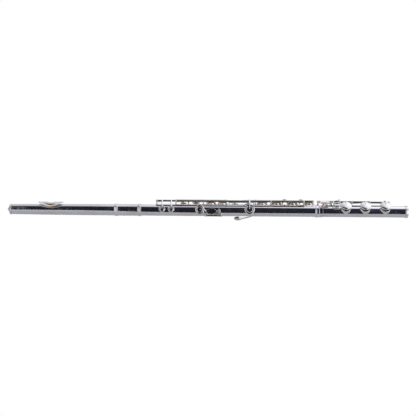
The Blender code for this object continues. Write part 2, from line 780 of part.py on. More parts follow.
def build_g_sharp_key():
    """The G sharp key, whose lever goes over the top and down the far side to its touch."""
    end = between(MAIN_POSTS[2], MAIN_POSTS[3])[1]
    station = HOLES["g_sharp"][0]
    lever_x = end - ARM_RADIUS
    over_trill = [(station, -0.3 * MM, 20.3 * MM), (station, -5.4 * MM, 20.4 * MM),
                  (station, -9.4 * MM, 18.3 * MM)]
    route = [(lever_x, *line_centre(MAIN_LINE)), (lever_x, 5.5 * MM, 19.4 * MM),
             (lever_x, 12.8 * MM, 15.6 * MM), (lever_x, 17.4 * MM, 8.0 * MM),
             (lever_x, 18.4 * MM, 0.0), (lever_x - 1.6 * MM, 17.4 * MM, -7.5 * MM),
             (350.0 * MM, 15.6 * MM, -12.4 * MM), (338.0 * MM, 14.4 * MM, -14.2 * MM)]
    extras = chain_solids(route, ARM_RADIUS, flatten=0.9)
    extras.append(touch_solid(333.5 * MM, -135.0, 20.3 * MM, 7.6 * MM, 4.6 * MM))
    cup = {"hole": "g_sharp", "via": over_trill}
    build_key("g_sharp", MAIN_LINE, [(342.0 * MM, end)], [cup], extras, opens=False)


def trill_touch(station, half_length):
    """A touch on the far side, on an arm that bridges the main line."""
    y, z = line_centre(TRILL_LINE)
    route = [(station, y, z), (station, y + 0.6 * MM, 20.7 * MM),
             (station, 3.4 * MM, 20.8 * MM), (station, 8.4 * MM, 19.5 * MM)]
    pieces = chain_solids(route, 0.9 * MM, flatten=0.62)
    pieces.append(touch_solid(station, -24.8, 21.2 * MM, half_length, 4.0 * MM, MM))
    return pieces


def build_trill_keys():
    """The D sharp trill key on its long inner rod, and the D trill key around it."""
    upper, lower = TRILL_END_POSTS
    outer_start = 207.0 * MM
    outer_end = 425.0 * MM
    inset = POST_WIDTH / 2 + END_PLAY
    spans = [(upper + inset, outer_start - END_PLAY), (outer_end + END_PLAY, lower - inset)]
    rod = (upper - POST_WIDTH / 2, lower + POST_WIDTH / 2)
    build_key("d_sharp_trill", TRILL_LINE, spans, [{"hole": "d_sharp_trill"}],
              trill_touch(445.5 * MM, 4.1 * MM), opens=False, inner_rod=rod)
    build_key("d_trill", TRILL_LINE, [(outer_start, outer_end)], [{"hole": "d_trill"}],
              trill_touch(416.2 * MM, 3.9 * MM), opens=False)


def build_thumb_keys():
    """The thumb B key and the B flat lever beside it, on the thumb rod."""
    key_span, lever_span = share(between(*THUMB_POSTS), 296.4 * MM)
    y, z = line_centre(THUMB_LINE)
    face = 14.8 * MM
    extras = [touch_solid(285.1 * MM, 90.0, face, 10.4 * MM, 5.0 * MM)]
    for station in (281.0 * MM, 289.5 * MM):
        extras.append(bar_solid((station, y, z), (station, -face, -1.5 * MM),
                                ARM_RADIUS, ARM_RADIUS, flatten=ARM_FLATTEN))
    start_x = key_span[0] + 1.6 * MM
    knee = (start_x, y - 1.6 * MM, z + 3.8 * MM)
    cup = {"hole": "thumb_b", "start_x": start_x, "via": [knee]}
    build_key("thumb_b", THUMB_LINE, [key_span], [cup], extras)

    middle = sum(lever_span) / 2
    pieces = hinge_tubes([lever_span], THUMB_LINE)
    pieces.append(touch_solid(middle, 92.0, face, 2.3 * MM, 5.6 * MM))
    pieces.append(bar_solid((middle, y, z), (middle, -face, 0.0), ARM_RADIUS, ARM_RADIUS))
    lever = unite(pieces)
    cut(lever, [rod_solid(lever_span[0] - MM, lever_span[1] + MM, HINGE_BORE_RADIUS,
                          HINGE_SIDES, (y, z))])
    pivot = add_pivot("thumb_b_flat", (0.0, y, z), opening_angle("thumb_b", THUMB_LINE))
    name_node(lever, "thumb_b_flat_lever", "silver", pivot)


def roller_node(name, span, centre, pivot):
    """A roller that turns on its key's pin."""
    roller = rod_solid(*span, ROLLER_RADIUS, CUP_SIDES, centre)
    cut(roller, [rod_solid(span[0] - MM, span[1] + MM, PIN_RADIUS + GAP, HINGE_SIDES, centre)])
    holder = add_pivot(name, (0.0, *centre))
    name_node(roller, name, "silver", holder)
    holder.parent = pivot
    holder.matrix_parent_inverse = Matrix.Translation(-pivot.location)


def build_foot_keys():
    """The four keys of the foot, with the rollers of the C and B keys."""
    tube = between(FOOT_POSTS[0], FOOT_POSTS[1])
    station = 486.6 * MM
    touch = [touch_solid(station, 24.3, 18.2 * MM, 9.8 * MM, 3.2 * MM)]
    for arm_x in (station - 4.0 * MM, station + 5.0 * MM):
        touch.append(bar_solid((arm_x, *line_centre(FOOT_LINE)), (arm_x, -6.4 * MM, 16.9 * MM),
                               ARM_RADIUS, ARM_RADIUS, flatten=ARM_FLATTEN))
    build_key("foot_d_sharp", FOOT_LINE, [tube], [{"hole": "foot_d_sharp"}], touch, opens=False)

    sleeve, c_sharp_span = share(between(FOOT_POSTS[1], FOOT_POSTS[2]), 503.2 * MM)
    rollers = (ROLLER_START_X, ROLLER_END_X)
    touch = [touch_solid(507.8 * MM, 19.3, 17.4 * MM, 3.9 * MM, 1.9 * MM)]
    touch.append(bar_solid((507.8 * MM, *line_centre(FOOT_LINE)), (507.8 * MM, -5.4 * MM, 16.5 * MM),
                           ARM_RADIUS, ARM_RADIUS, flatten=ARM_FLATTEN))
    build_key("foot_c_sharp", FOOT_LINE, [c_sharp_span], [{"hole": "foot_c_sharp"}], touch)

    arm_x = sum(sleeve) / 2
    y, z = C_ROLLER_CENTRE
    arm = chain_solids([(arm_x, *line_centre(FOOT_LINE)), (arm_x, -5.6 * MM, 17.0 * MM),
                        (arm_x, y, z)], 0.95 * MM, flatten=0.9)
    arm.append(rod_solid(arm_x - PIN_INSET, rollers[1] + 0.2 * MM, PIN_RADIUS, 10,
                         C_ROLLER_CENTRE))
    rod = (FOOT_POSTS[1] + 0.2 * MM, FOOT_POSTS[3] + POST_WIDTH / 2)
    spans = [sleeve, between(FOOT_POSTS[2], FOOT_POSTS[3])]
    pivot = build_key("foot_c", FOOT_LINE, spans, [{"hole": "foot_c"}], arm, inner_rod=rod)
    roller_node("c_roller", rollers, C_ROLLER_CENTRE, pivot)

    arm_x = 512.75 * MM
    y, z = B_ROLLER_CENTRE
    arm = chain_solids([(arm_x, *line_centre(FOOT_B_LINE)), (arm_x, 3.8 * MM, 19.8 * MM),
                        (arm_x, -3.2 * MM, 20.2 * MM), (arm_x, -9.8 * MM, 16.4 * MM),
                        (arm_x, y, z)], 0.8 * MM, flatten=0.9)
    arm.append(rod_solid(rollers[0] - 0.2 * MM, arm_x + PIN_INSET, PIN_RADIUS, 10,
                         B_ROLLER_CENTRE))
    pivot = build_key("foot_b", FOOT_B_LINE, [between(FOOT_B_POSTS[0], FOOT_B_POSTS[2])],
                      [{"hole": "foot_b"}], arm)
    roller_node("b_roller", rollers, B_ROLLER_CENTRE, pivot)


def build_rods():
    """The hinge steels that stay still in their posts."""
    half = POST_WIDTH / 2
    steels = {
        "upper_rod": (MAIN_POSTS[0] - half, MAIN_POSTS[3] - 0.2 * MM, MAIN_LINE, BODY),
        "lower_rod": (MAIN_POSTS[3] + 0.2 * MM, MAIN_POSTS[5] + half, MAIN_LINE, BODY),
        "g_rod": (G_POSTS[0] - half, G_POSTS[1] + half, G_LINE, BODY),
        "thumb_rod": (THUMB_POSTS[0] - half, THUMB_POSTS[1] + half, THUMB_LINE, BODY),
        "foot_d_sharp_rod": (FOOT_POSTS[0] - half, FOOT_POSTS[1] - 0.2 * MM, FOOT_LINE, FOOT),
        "foot_b_rod": (FOOT_B_POSTS[0] - half, FOOT_B_POSTS[2] + half, FOOT_B_LINE, FOOT),
    }
    for name, (start, end, line, owner) in steels.items():
        steel = rod_solid(start, end, ROD_RADIUS, HINGE_SIDES, line_centre(line))
        name_node(steel, name, "steel", owner)


clear_scene()
PARTS = add_collection("concert_flute")
CUTTERS = add_collection("cutters")
MATERIALS = make_materials()
HEAD = add_pivot("head", (0.0, 0.0, 0.0))
CROWN = add_pivot("crown", (0.0, 0.0, 0.0))
STOPPER = add_pivot("stopper", (0.0, 0.0, 0.0))
BODY = add_pivot("body", (0.0, 0.0, 0.0))
FOOT = add_pivot("foot", (0.0, 0.0, 0.0))
build_head()
build_stopper()
build_body_tube()
build_foot_tube()
build_ribs()
build_rods()
build_main_keys()
build_g_sharp_key()
build_trill_keys()
build_thumb_keys()
build_foot_keys()
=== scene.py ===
"""The looks of a concert flute: polished silver tubes and keywork on a plain pale stage.

Laid out as a Blender add-on and run as a script. Lengths are metres, +X runs to the foot, +Z is up
and -Y is the player's side. A direction round the tube is an angle from +Z towards the player.
Each key is drawn closed on its tone hole and is then turned to its rest place.
"""

import json
import math

import bmesh
import bpy
from bpy.props import FloatProperty, FloatVectorProperty, PointerProperty
from mathutils import Matrix, Vector


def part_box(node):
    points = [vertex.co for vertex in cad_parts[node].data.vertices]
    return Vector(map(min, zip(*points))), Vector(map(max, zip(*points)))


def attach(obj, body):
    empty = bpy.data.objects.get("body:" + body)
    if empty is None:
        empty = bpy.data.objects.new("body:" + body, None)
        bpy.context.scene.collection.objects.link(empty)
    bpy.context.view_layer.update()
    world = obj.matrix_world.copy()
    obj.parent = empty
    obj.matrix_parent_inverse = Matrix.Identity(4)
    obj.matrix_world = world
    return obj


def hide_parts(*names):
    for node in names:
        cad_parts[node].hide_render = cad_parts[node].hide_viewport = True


bl_info = {
    "name": "Concert flute",
    "version": (1, 0, 0),
    "blender": (4, 5, 0),
    "location": "3D View > Sidebar > Flute",
    "description": "Builds a closed-hole concert flute piece by piece",
    "category": "Object",
}

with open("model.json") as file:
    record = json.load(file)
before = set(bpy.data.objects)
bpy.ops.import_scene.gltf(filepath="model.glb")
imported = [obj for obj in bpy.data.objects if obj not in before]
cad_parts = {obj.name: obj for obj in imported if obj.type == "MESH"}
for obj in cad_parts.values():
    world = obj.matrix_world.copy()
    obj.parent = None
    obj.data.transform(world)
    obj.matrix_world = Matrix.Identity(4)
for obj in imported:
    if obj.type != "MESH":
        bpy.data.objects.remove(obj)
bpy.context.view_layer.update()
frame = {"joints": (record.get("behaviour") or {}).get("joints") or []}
JOINTS = {joint["name"]: joint for joint in frame["joints"]}

MM = 0.001

# Directions round the tube
FAR_ANGLE = -45.0
G_ANGLE = -72.0
NEAR_ANGLE = 78.0
FOOT_ANGLE = 52.0
FOOT_FAR_ANGLE = -50.0
HOLE_ANGLES = {
    "d_sharp_trill": NEAR_ANGLE, "d_trill": NEAR_ANGLE, "c_sharp": FAR_ANGLE,
    "thumb_b": NEAR_ANGLE, "b_flat": FAR_ANGLE, "a": FAR_ANGLE, "g_upper": G_ANGLE,
    "g_lower": G_ANGLE, "g_sharp": NEAR_ANGLE, "f_sharp": FAR_ANGLE, "f": FAR_ANGLE,
    "e": FAR_ANGLE, "d": FAR_ANGLE, "foot_d_sharp": FOOT_FAR_ANGLE,
    "foot_c_sharp": FOOT_ANGLE, "foot_c": FOOT_ANGLE, "foot_b": FOOT_ANGLE,
}
BODY_HOLES = [name for name in HOLE_ANGLES if not name.startswith("foot")]
FOOT_HOLES = [name for name in HOLE_ANGLES if name.startswith("foot")]

# Keys that rest closed on their tone holes
CLOSED_STANDING = ("g_sharp", "d_trill", "d_sharp_trill", "foot_d_sharp")

# Heights over the tube's axis, and the sizes of a cup
BORE_RADIUS = 9.5 * MM
TUBE_RADIUS = 9.9 * MM
SEAT_HEIGHT = 12.1 * MM
CHIMNEY_WALL = 0.55 * MM
PAD_GAP = 0.2 * MM
PAD_THICKNESS = 2.1 * MM
PAD_OVERHANG = 1.2 * MM
CUP_RIM = 0.8 * MM
CUP_TOP = 16.3 * MM
CUP_SKIRT = 12.9 * MM

# The hinge steels' radius, which a key's own long core shares, and the bore through such a core
STEEL_RADIUS = 0.95 * MM
CORE_BORE = 0.3 * MM

# The head tube's taper, and the radii of the sockets, their sleeves and their rings
HEAD_TAPER_END = 105.0 * MM
HEAD_TAPER_LENGTH = 174.4 * MM
HEAD_TAPER_DEPTH = 1.0 * MM
SOCKET_BORE = 10.1 * MM
SLEEVE_RADIUS = 10.6 * MM
RING_RADIUS = 10.95 * MM

# How far out from the tube's axis the cutters of the holes run
CUT_LOW = 5.0 * MM
CUT_HIGH = 15.0 * MM

# Sides of a turned shape, and the angle over which an edge is drawn sharp
TUBE_SIDES = 128
HOLE_SIDES = 56
CUP_SIDES = 72
SHARP_ANGLE = 32.0


# ---------------------------------------------------------------- places read from the frame

def joint_line(key):
    """The (y, z) of a key's hinge line."""
    place = JOINTS[f"{key}_press"]["pos_m"]
    return (place[1], place[2])


def rest_turn(key):
    """The matrix that takes a key from closed on its tone hole to its rest place."""
    if key in CLOSED_STANDING:
        return Matrix.Identity(4)
    joint = JOINTS[f"{key}_press"]
    angle = -math.radians(joint["range_deg"][1]) * joint["axis"][0]
    y, z = joint_line(key)
    centre = Vector((0.0, y, z))
    turn = Matrix.Rotation(angle, 4, "X")
    return Matrix.Translation(centre) @ turn @ Matrix.Translation(-centre)


def hole_station(name):
    """A tone hole's place along the tube."""
    low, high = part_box(f"{name}_pad")
    return (low.x + high.x) / 2


def pad_radius(name):
    """The radius of the pad over a tone hole."""
    low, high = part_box(f"{name}_pad")
    return (high.x - low.x) / 2


def hole_radius(name):
    """The radius of a tone hole."""
    return pad_radius(name) - PAD_OVERHANG


def hole_frame(station, angle):
    """A frame on the tube's axis whose Z points out at an angle round the tube."""
    return Matrix.Translation((station, 0.0, 0.0)) @ Matrix.Rotation(math.radians(angle), 4, "X")


def line_frame(line=(0.0, 0.0)):
    """A frame whose Z runs along the flute at (y, z)."""
    return Matrix.Translation((0.0, line[0], line[1])) @ Matrix.Rotation(math.pi / 2, 4, "Y")


# ---------------------------------------------------------------- mesh tools

def finish_mesh(name, bm, finish, sharp=SHARP_ANGLE):
    """Turn a bmesh into a smooth-shaded object with a material."""
    bmesh.ops.remove_doubles(bm, verts=bm.verts, dist=1e-7)
    bmesh.ops.recalc_face_normals(bm, faces=bm.faces)
    mesh = bpy.data.meshes.new(name)
    bm.to_mesh(mesh)
    bm.free()
    mesh.shade_smooth()
    mesh.set_sharp_from_angle(angle=math.radians(sharp))
    mesh.materials.append(finish)
    item = bpy.data.objects.new(name, mesh)
    bpy.context.scene.collection.objects.link(item)
    return item


def bridge(bm, rings):
    """Join each ring of vertices to the next one with faces."""
    for low, high in zip(rings, rings[1:]):
        for step in range(len(low)):
            following = (step + 1) % len(low)
            bm.faces.new((low[step], low[following], high[following], high[step]))


def soften(profile, radius, steps=4, closed=False):
    """Round every corner of a profile of (radius, height) points."""
    points = [Vector(point) for point in profile]
    count = len(points)
    result = []
    for index, corner in enumerate(points):
        if not closed and index in (0, count - 1):
            result.append(corner)
            continue
        before = points[index - 1]
        after = points[(index + 1) % count]
        to_before = before - corner
        to_after = after - corner
        reach = min(radius, to_before.length * 0.45, to_after.length * 0.45)
        start = corner + to_before.normalized() * reach
        end = corner + to_after.normalized() * reach
        for step in range(steps + 1):
            share = step / steps
            low = start.lerp(corner, share)
            high = corner.lerp(end, share)
            result.append(low.lerp(high, share))
    return [(point.x, point.y) for point in result]


def lathe(bm, profile, place, sides=64, closed=False):
    """Turn a profile of (radius, height) points round a frame's Z axis."""
    rings = []
    for radius, height in profile:
        if radius < 1e-6:
            rings.append([bm.verts.new(place @ Vector((0.0, 0.0, height)))])
            continue
        ring = []
        for step in range(sides):
            angle = math.tau * step / sides
            spot = Vector((radius * math.cos(angle), radius * math.sin(angle), height))
            ring.append(bm.verts.new(place @ spot))
        rings.append(ring)
    pairs = list(zip(rings, rings[1:]))
    if closed:
        pairs.append((rings[-1], rings[0]))
    for low, high in pairs:
        for step in range(sides):
            following = (step + 1) % sides
            corners = [low[step % len(low)], low[following % len(low)],
                       high[following % len(high)], high[step % len(high)]]
            unique = list(dict.fromkeys(corners))
            if len(unique) > 2:
                bm.faces.new(unique)


def smooth_path(points, steps=8):
    """Points on a smooth curve through a list of points."""
    spots = [Vector(point) for point in points]
    if len(spots) < 3:
        return spots
    padded = [spots[0] * 2 - spots[1]] + spots + [spots[-1] * 2 - spots[-2]]
    result = []
    for index in range(1, len(padded) - 2):
        before, start, end, after = padded[index - 1:index + 3]
        for step in range(steps):
            share = step / steps
            result.append(0.5 * (2 * start + (end - before) * share
                          + (2 * before - 5 * start + 4 * end - after) * share ** 2
                          + (3 * start - before - 3 * end + after) * share ** 3))
    result.append(spots[-1])
    return result


def sweep(bm, points, widths, heights, sides=14, square=2.6):
    """Sweep a soft-cornered section along a smooth path, with rounded ends.

    widths run along the flute where the path crosses it, and heights across the path. Each is
    one half size, or a half size at the start and one at the end.
    """
    path = smooth_path(points)
    start_w, end_w = widths if isinstance(widths, tuple) else (widths, widths)
    start_h, end_h = heights if isinstance(heights, tuple) else (heights, heights)
    lengths = [0.0]
    for a, b in zip(path, path[1:]):
        lengths.append(lengths[-1] + (b - a).length)
    total = lengths[-1]
    stations = []
    for index, spot in enumerate(path):
        ahead = path[min(index + 1, len(path) - 1)]
        behind = path[max(index - 1, 0)]
        stations.append((spot, (ahead - behind).normalized(), lengths[index] / total, 1.0))
    first, last = stations[0], stations[-1]
    for share in (0.5, 0.85, 0.98):
        scale = math.sqrt(1.0 - share ** 2)
        stations.insert(0, (first[0] - first[1] * start_h * share, first[1], 0.0, scale))
        stations.append((last[0] + last[1] * end_h * share, last[1], 1.0, scale))
    side = Vector((1.0, 0.0, 0.0))
    if abs(stations[0][1].x) > 0.9:
        side = Vector((0.0, 0.0, 1.0))
    rings = []
    for spot, along, share, scale in stations:
        side = side - along * side.dot(along)
        side.normalize()
        other = along.cross(side)
        width = (start_w + (end_w - start_w) * share) * scale
        height = (start_h + (end_h - start_h) * share) * scale
        ring = []
        for step in range(sides):
            angle = math.tau * (step + 0.5) / sides
            c, s = math.cos(angle), math.sin(angle)
            across = math.copysign(abs(c) ** (2 / square), c) * width
            up = math.copysign(abs(s) ** (2 / square), s) * height
            ring.append(bm.verts.new(spot + side * across + other * up))
        rings.append(ring)
    bridge(bm, rings)
    bm.faces.new(rings[0])
    bm.faces.new(rings[-1])


def oval_disc(bm, place, half_length, half_width, thickness, dish=0.0, sides=48):
    """An oval plate with a rounded edge and a face that is dished or domed along its frame's Z."""
    edge = thickness / 2
    rows = [(0.0, edge - dish), (0.35, edge - dish * 0.88), (0.62, edge - dish * 0.6),
            (0.82, edge - dish * 0.25), (0.93, edge)]
    rows += [(1.0 - 0.07 * (1 - math.cos(angle)), edge * math.sin(angle))
             for angle in (1.2, 0.8, 0.4, 0.0, -0.4, -0.8, -1.2)]
    rows += [(0.9, -edge), (0.5, -edge - dish * 0.4), (0.0, -edge - dish * 0.5)]
    shape = place @ Matrix.Diagonal((half_length, half_width, 1.0, 1.0))
    lathe(bm, rows, shape, sides)


def hinge_tube(body, start, end, line, radius=1.75 * MM, bore=1.05 * MM):
    """A key's hinge tube along the flute, with softened ends, a collar at each end and its bore."""
    collar = min(0.16 * MM, radius * 0.1)
    edge = 1.3 * MM
    outside = [(radius + collar, end), (radius + collar, end - edge), (radius, end - edge * 1.2),
               (radius, start + edge * 1.2), (radius + collar, start + edge),
               (radius + collar, start)]
    bm = bmesh.new()
    lathe(bm, soften([(bore, end)] + outside + [(bore, start)], 0.12 * MM, 3, closed=True),
          line_frame(line), 32, closed=True)
    # The hinge tube's finish is the keys' silver darkened as painted shade
    add_piece(f"{body}_hinge_tube", bm, "shaded_hinge_silver", 38.0, body, "silver")


def place_piece(item, body, slot, *nodes):
    """Give a piece its body and hide the CAD nodes it stands for. slot, its finish slot, is not used.

    Its long faces lead its shading, so that a small rounded edge doesn't bend their reflections.
    """
    shading = item.modifiers.new("Shading", "WEIGHTED_NORMAL")
    shading.keep_sharp = True
    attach(item, body)
    if nodes:
        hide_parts(*nodes)


def add_piece(name, bm, finish, sharp, body, slot, *nodes):
    """Close a mesh as one piece of the flute, in a finish and with its body and nodes; slot is not
    used.
    """
    place_piece(finish_mesh(name, bm, material(finish), sharp), body, slot, *nodes)


def cut_away(item, cutters):
    """Cut solids out of a piece, and clear them away."""
    for cutter in cutters:
        step = item.modifiers.new("Cut", "BOOLEAN")
        step.operation = "DIFFERENCE"
        step.solver = "EXACT"
        step.object = cutter
    bpy.context.view_layer.update()
    graph = bpy.context.evaluated_depsgraph_get()
    mesh = bpy.data.meshes.new_from_object(item.evaluated_get(graph))
    item.modifiers.clear()
    item.data = mesh
    mesh.shade_smooth()
    mesh.set_sharp_from_angle(angle=math.radians(SHARP_ANGLE))
    for cutter in cutters:
        bpy.data.objects.remove(cutter, do_unlink=True)


def round_cutter(place, radius, stretch=1.0):
    """A plain cutter along a frame's Z, stretched across the flute."""
    bm = bmesh.new()
    shape = place @ Matrix.Diagonal((1.0, stretch, 1.0, 1.0))
    profile = [(0.0, CUT_HIGH), (radius, CUT_HIGH), (radius, CUT_LOW), (0.0, CUT_LOW)]
    lathe(bm, profile, shape, HOLE_SIDES)
    return finish_mesh("cutter", bm, material("steel"))


# ---------------------------------------------------------------- node groups and materials

def add_node(tree, kind, values=None, **settings):
    """Add a shader node, set its properties and its unlinked inputs."""
    node = tree.nodes.new(kind)
    for key, value in settings.items():
        setattr(node, key, value)
    for key, value in (values or {}).items():
        node.inputs[key].default_value = value
    return node


def connect(tree, socket, source):
    """Feed a socket from another socket, or set it to a plain value."""
    if isinstance(source, bpy.types.NodeSocket):
        tree.links.new(source, socket)
    else:
        socket.default_value = source


def maths(tree, operation, *sources):
    """The result of a maths node over sockets and plain numbers."""
    node = add_node(tree, "ShaderNodeMath", operation=operation)
    for socket, source in zip(node.inputs, sources):
        connect(tree, socket, source)
    return node.outputs[0]


def mix_colours(tree, factor, first, second, blend="MIX"):
    """Two colours, each a socket or plain, mixed by a number or a mask."""
    node = add_node(tree, "ShaderNodeMix", data_type="RGBA", blend_type=blend)
    connect(tree, node.inputs[0], factor)
    for socket, tone in ((node.inputs[6], first), (node.inputs[7], second)):
        connect(tree, socket, tone if isinstance(tone, bpy.types.NodeSocket) else (*tone, 1.0))
    return node.outputs[2]


def start_material(name):
    """A new material with its node tree and its shader."""
    item = bpy.data.materials.new(name)
    item.use_nodes = True
    return item, item.node_tree, item.node_tree.nodes["Principled BSDF"]


def start_group(name, inputs, outputs):
    """Start a shader node group and return its tree, input node and output node."""
    tree = bpy.data.node_groups.new(name, "ShaderNodeTree")
    for label, kind, default in inputs:
        socket = tree.interface.new_socket(label, in_out="INPUT", socket_type=kind)
        socket.default_value = default
    for label, kind in outputs:
        tree.interface.new_socket(label, in_out="OUTPUT", socket_type=kind)
    return tree, tree.nodes.new("NodeGroupInput"), tree.nodes.new("NodeGroupOutput")


def stretched_noise(tree, stretch, scale, detail):
    """Noise on the object's own coordinates, stretched along each axis."""
    place = add_node(tree, "ShaderNodeTexCoord")
    mapping = add_node(tree, "ShaderNodeMapping", {"Scale": stretch})
    noise = add_node(tree, "ShaderNodeTexNoise", {"Scale": scale, "Detail": detail})
    tree.links.new(place.outputs["Object"], mapping.inputs["Vector"])
    tree.links.new(mapping.outputs["Vector"], noise.inputs["Vector"])
    return noise.outputs["Fac"]


def ramp(tree, source, stops):
    """A colour ramp over a value, with (position, grey or colour) stops."""
    node = add_node(tree, "ShaderNodeValToRGB")
    elements = node.color_ramp.elements
    while len(elements) < len(stops):
        elements.new(0.5)
    for element, (position, tone) in zip(elements, stops):
        element.position = position
        element.color = (*tone, 1.0) if isinstance(tone, tuple) else (tone, tone, tone, 1.0)
    tree.links.new(source, node.inputs["Fac"])
    return node.outputs["Color"]


def polish_group():
    """Handled polish: finger smudges in the roughness, fine hairlines in the height."""
    inputs = [("Clean Roughness", "NodeSocketFloat", 0.1), ("Smudge", "NodeSocketFloat", 0.1),
              ("Hairlines", "NodeSocketFloat", 0.5)]
    outputs = [("Roughness", "NodeSocketFloat"), ("Height", "NodeSocketFloat"),
               ("Tarnish", "NodeSocketFloat")]
    tree, given, result = start_group("Handled polish", inputs, outputs)
    smudge = stretched_noise(tree, (1.0, 1.6, 1.6), 85.0, 5.0)
    mask = ramp(tree, smudge, [(0.46, 0.0), (0.68, 1.0)])
    amount = maths(tree, "MULTIPLY", mask, given.outputs["Smudge"])
    total = maths(tree, "ADD", amount, given.outputs["Clean Roughness"])
    tree.links.new(total, result.inputs["Roughness"])
    lines = stretched_noise(tree, (0.02, 1.0, 1.0), 5200.0, 2.0)
    dents = stretched_noise(tree, (1.0, 1.0, 1.0), 210.0, 2.0)
    height = maths(tree, "MULTIPLY_ADD", lines, given.outputs["Hairlines"], dents)
    tree.links.new(height, result.inputs["Height"])
    age = stretched_noise(tree, (0.6, 1.0, 1.0), 34.0, 6.0)
    tree.links.new(ramp(tree, age, [(0.5, 0.0), (0.82, 1.0)]), result.inputs["Tarnish"])
    return tree


def grain_group():
    """Fine grain for skins, felt and cork: a mask, and a height that follows it."""
    inputs = [("Scale", "NodeSocketFloat", 900.0), ("Contrast", "NodeSocketFloat", 1.0)]
    outputs = [("Mask", "NodeSocketFloat"), ("Height", "NodeSocketFloat")]
    tree, given, result = start_group("Fine grain", inputs, outputs)
    place = add_node(tree, "ShaderNodeTexCoord")
    noise = add_node(tree, "ShaderNodeTexNoise", {"Detail": 6.0, "Roughness": 0.62})
    cells = add_node(tree, "ShaderNodeTexVoronoi", feature="DISTANCE_TO_EDGE")
    for texture in (noise, cells):
        tree.links.new(place.outputs["Object"], texture.inputs["Vector"])
        tree.links.new(given.outputs["Scale"], texture.inputs["Scale"])
    tree.links.new(ramp(tree, noise.outputs["Fac"], [(0.3, 0.0), (0.7, 1.0)]),
                   result.inputs["Mask"])
    height = maths(tree, "MULTIPLY_ADD", cells.outputs["Distance"], given.outputs["Contrast"],
                   noise.outputs["Fac"])
    tree.links.new(height, result.inputs["Height"])
    return tree


# Metal finishes: tarnished colour, clean roughness, smudge, hairlines, bump
METALS = {
    "head_silver": ((0.76, 0.74, 0.74), 0.085, 0.10, 0.5, 0.05),
    "tube_silver": ((0.78, 0.75, 0.72), 0.075, 0.09, 0.5, 0.05),
    # The hinge tubes' silver is a darker copy of the keys' silver: painted shade for the dark that they
    # reflect from the tube beneath
    "shaded_hinge_silver": ((0.30, 0.28, 0.27), 0.14, 0.12, 0.5, 0.06),
    "key_silver": ((0.70, 0.66, 0.60), 0.070, 0.12, 0.3, 0.05),
    "ring_silver": ((0.74, 0.70, 0.66), 0.10, 0.10, 0.8, 0.06),
    "lip_silver": ((0.80, 0.74, 0.68), 0.12, 0.12, 0.4, 0.06),
    "steel": ((0.34, 0.30, 0.27), 0.22, 0.14, 1.0, 0.10),
    "spring_gold": ((0.52, 0.30, 0.14), 0.20, 0.12, 0.6, 0.06),
    "screw_steel": ((0.16, 0.15, 0.17), 0.24, 0.12, 0.8, 0.10),
}

# Soft finishes: dark colour, roughness, grain scale, contrast, bump, sheen
SOFTS = {
    "pad_skin": ((0.90, 0.66, 0.08), 0.42, 1500.0, 0.6, 0.25, 0.15),
    "pad_felt": ((0.66, 0.56, 0.38), 0.92, 2600.0, 0.2, 0.45, 0.5),
    "key_cork": ((0.55, 0.25, 0.09), 0.85, 1100.0, 1.0, 0.6, 0.1),
}


def finish_colour(name):
    """A finish's colour, from the properties that the sidebar shows."""
    return getattr(bpy.context.scene.flute_finishes, name)


def metal_material(name, group):
    """A polished metal with smudges, hairlines and a little tarnish."""
    aged, roughness, smudge, hairlines, bump_strength = METALS[name]
    item, tree, shader = start_material(name)
    shader.inputs["Metallic"].default_value = 1.0
    polish = add_node(tree, "ShaderNodeGroup", {"Clean Roughness": roughness, "Smudge": smudge,
                                                "Hairlines": hairlines}, node_tree=group)
    colour = mix_colours(tree, polish.outputs["Tarnish"], finish_colour(name), aged)
    bump = add_node(tree, "ShaderNodeBump", {"Strength": bump_strength, "Distance": 0.00004})
    tree.links.new(colour, shader.inputs["Base Color"])
    tree.links.new(polish.outputs["Roughness"], shader.inputs["Roughness"])
    tree.links.new(polish.outputs["Height"], bump.inputs["Height"])
    tree.links.new(bump.outputs["Normal"], shader.inputs["Normal"])
    return item


def tint_by_place(item, axis, start, end, tone, dullness):
    """Mix another tone and a duller polish into a metal from one place to another on an axis."""
    tree = item.node_tree
    shader = tree.nodes["Principled BSDF"]
    clean = shader.inputs["Base Color"].links[0].from_socket
    polish = shader.inputs["Roughness"].links[0].from_socket
    place = add_node(tree, "ShaderNodeTexCoord")
    split = add_node(tree, "ShaderNodeSeparateXYZ")
    span = add_node(tree, "ShaderNodeMapRange", {"From Min": start, "From Max": end})
    tree.links.new(place.outputs["Object"], split.inputs["Vector"])
    tree.links.new(split.outputs[axis], span.inputs["Value"])
    tinted = span.outputs["Result"]
    tree.links.new(mix_colours(tree, tinted, clean, tone), shader.inputs["Base Color"])
    dull = add_node(tree, "ShaderNodeMix", {3: dullness}, data_type="FLOAT")
    tree.links.new(tinted, dull.inputs[0])
    tree.links.new(polish, dull.inputs[2])
    tree.links.new(dull.outputs[0], shader.inputs["Roughness"])


def soft_material(name, group):
    """A grained skin, felt or cork."""
    dark, roughness, scale, contrast, bump_strength, sheen = SOFTS[name]
    item, tree, shader = start_material(name)
    shader.inputs["Roughness"].default_value = roughness
    shader.inputs["Sheen Weight"].default_value = sheen
    grain = add_node(tree, "ShaderNodeGroup", {"Scale": scale, "Contrast": contrast},
                     node_tree=group)
    colour = mix_colours(tree, grain.outputs["Mask"], dark, finish_colour(name))
    bump = add_node(tree, "ShaderNodeBump", {"Strength": bump_strength, "Distance": 0.0001})
    tree.links.new(colour, shader.inputs["Base Color"])
    tree.links.new(grain.outputs["Height"], bump.inputs["Height"])
    tree.links.new(bump.outputs["Normal"], shader.inputs["Normal"])
    return item


def material(name):
    """A finish by name, made when it is first asked for."""
    found = bpy.data.materials.get(name)
    if found:
        return found
    if name in METALS:
        return metal_material(name, bpy.data.node_groups.get("Handled polish") or polish_group())
    return soft_material(name, bpy.data.node_groups.get("Fine grain") or grain_group())


# ---------------------------------------------------------------- tubes, rings and the embouchure

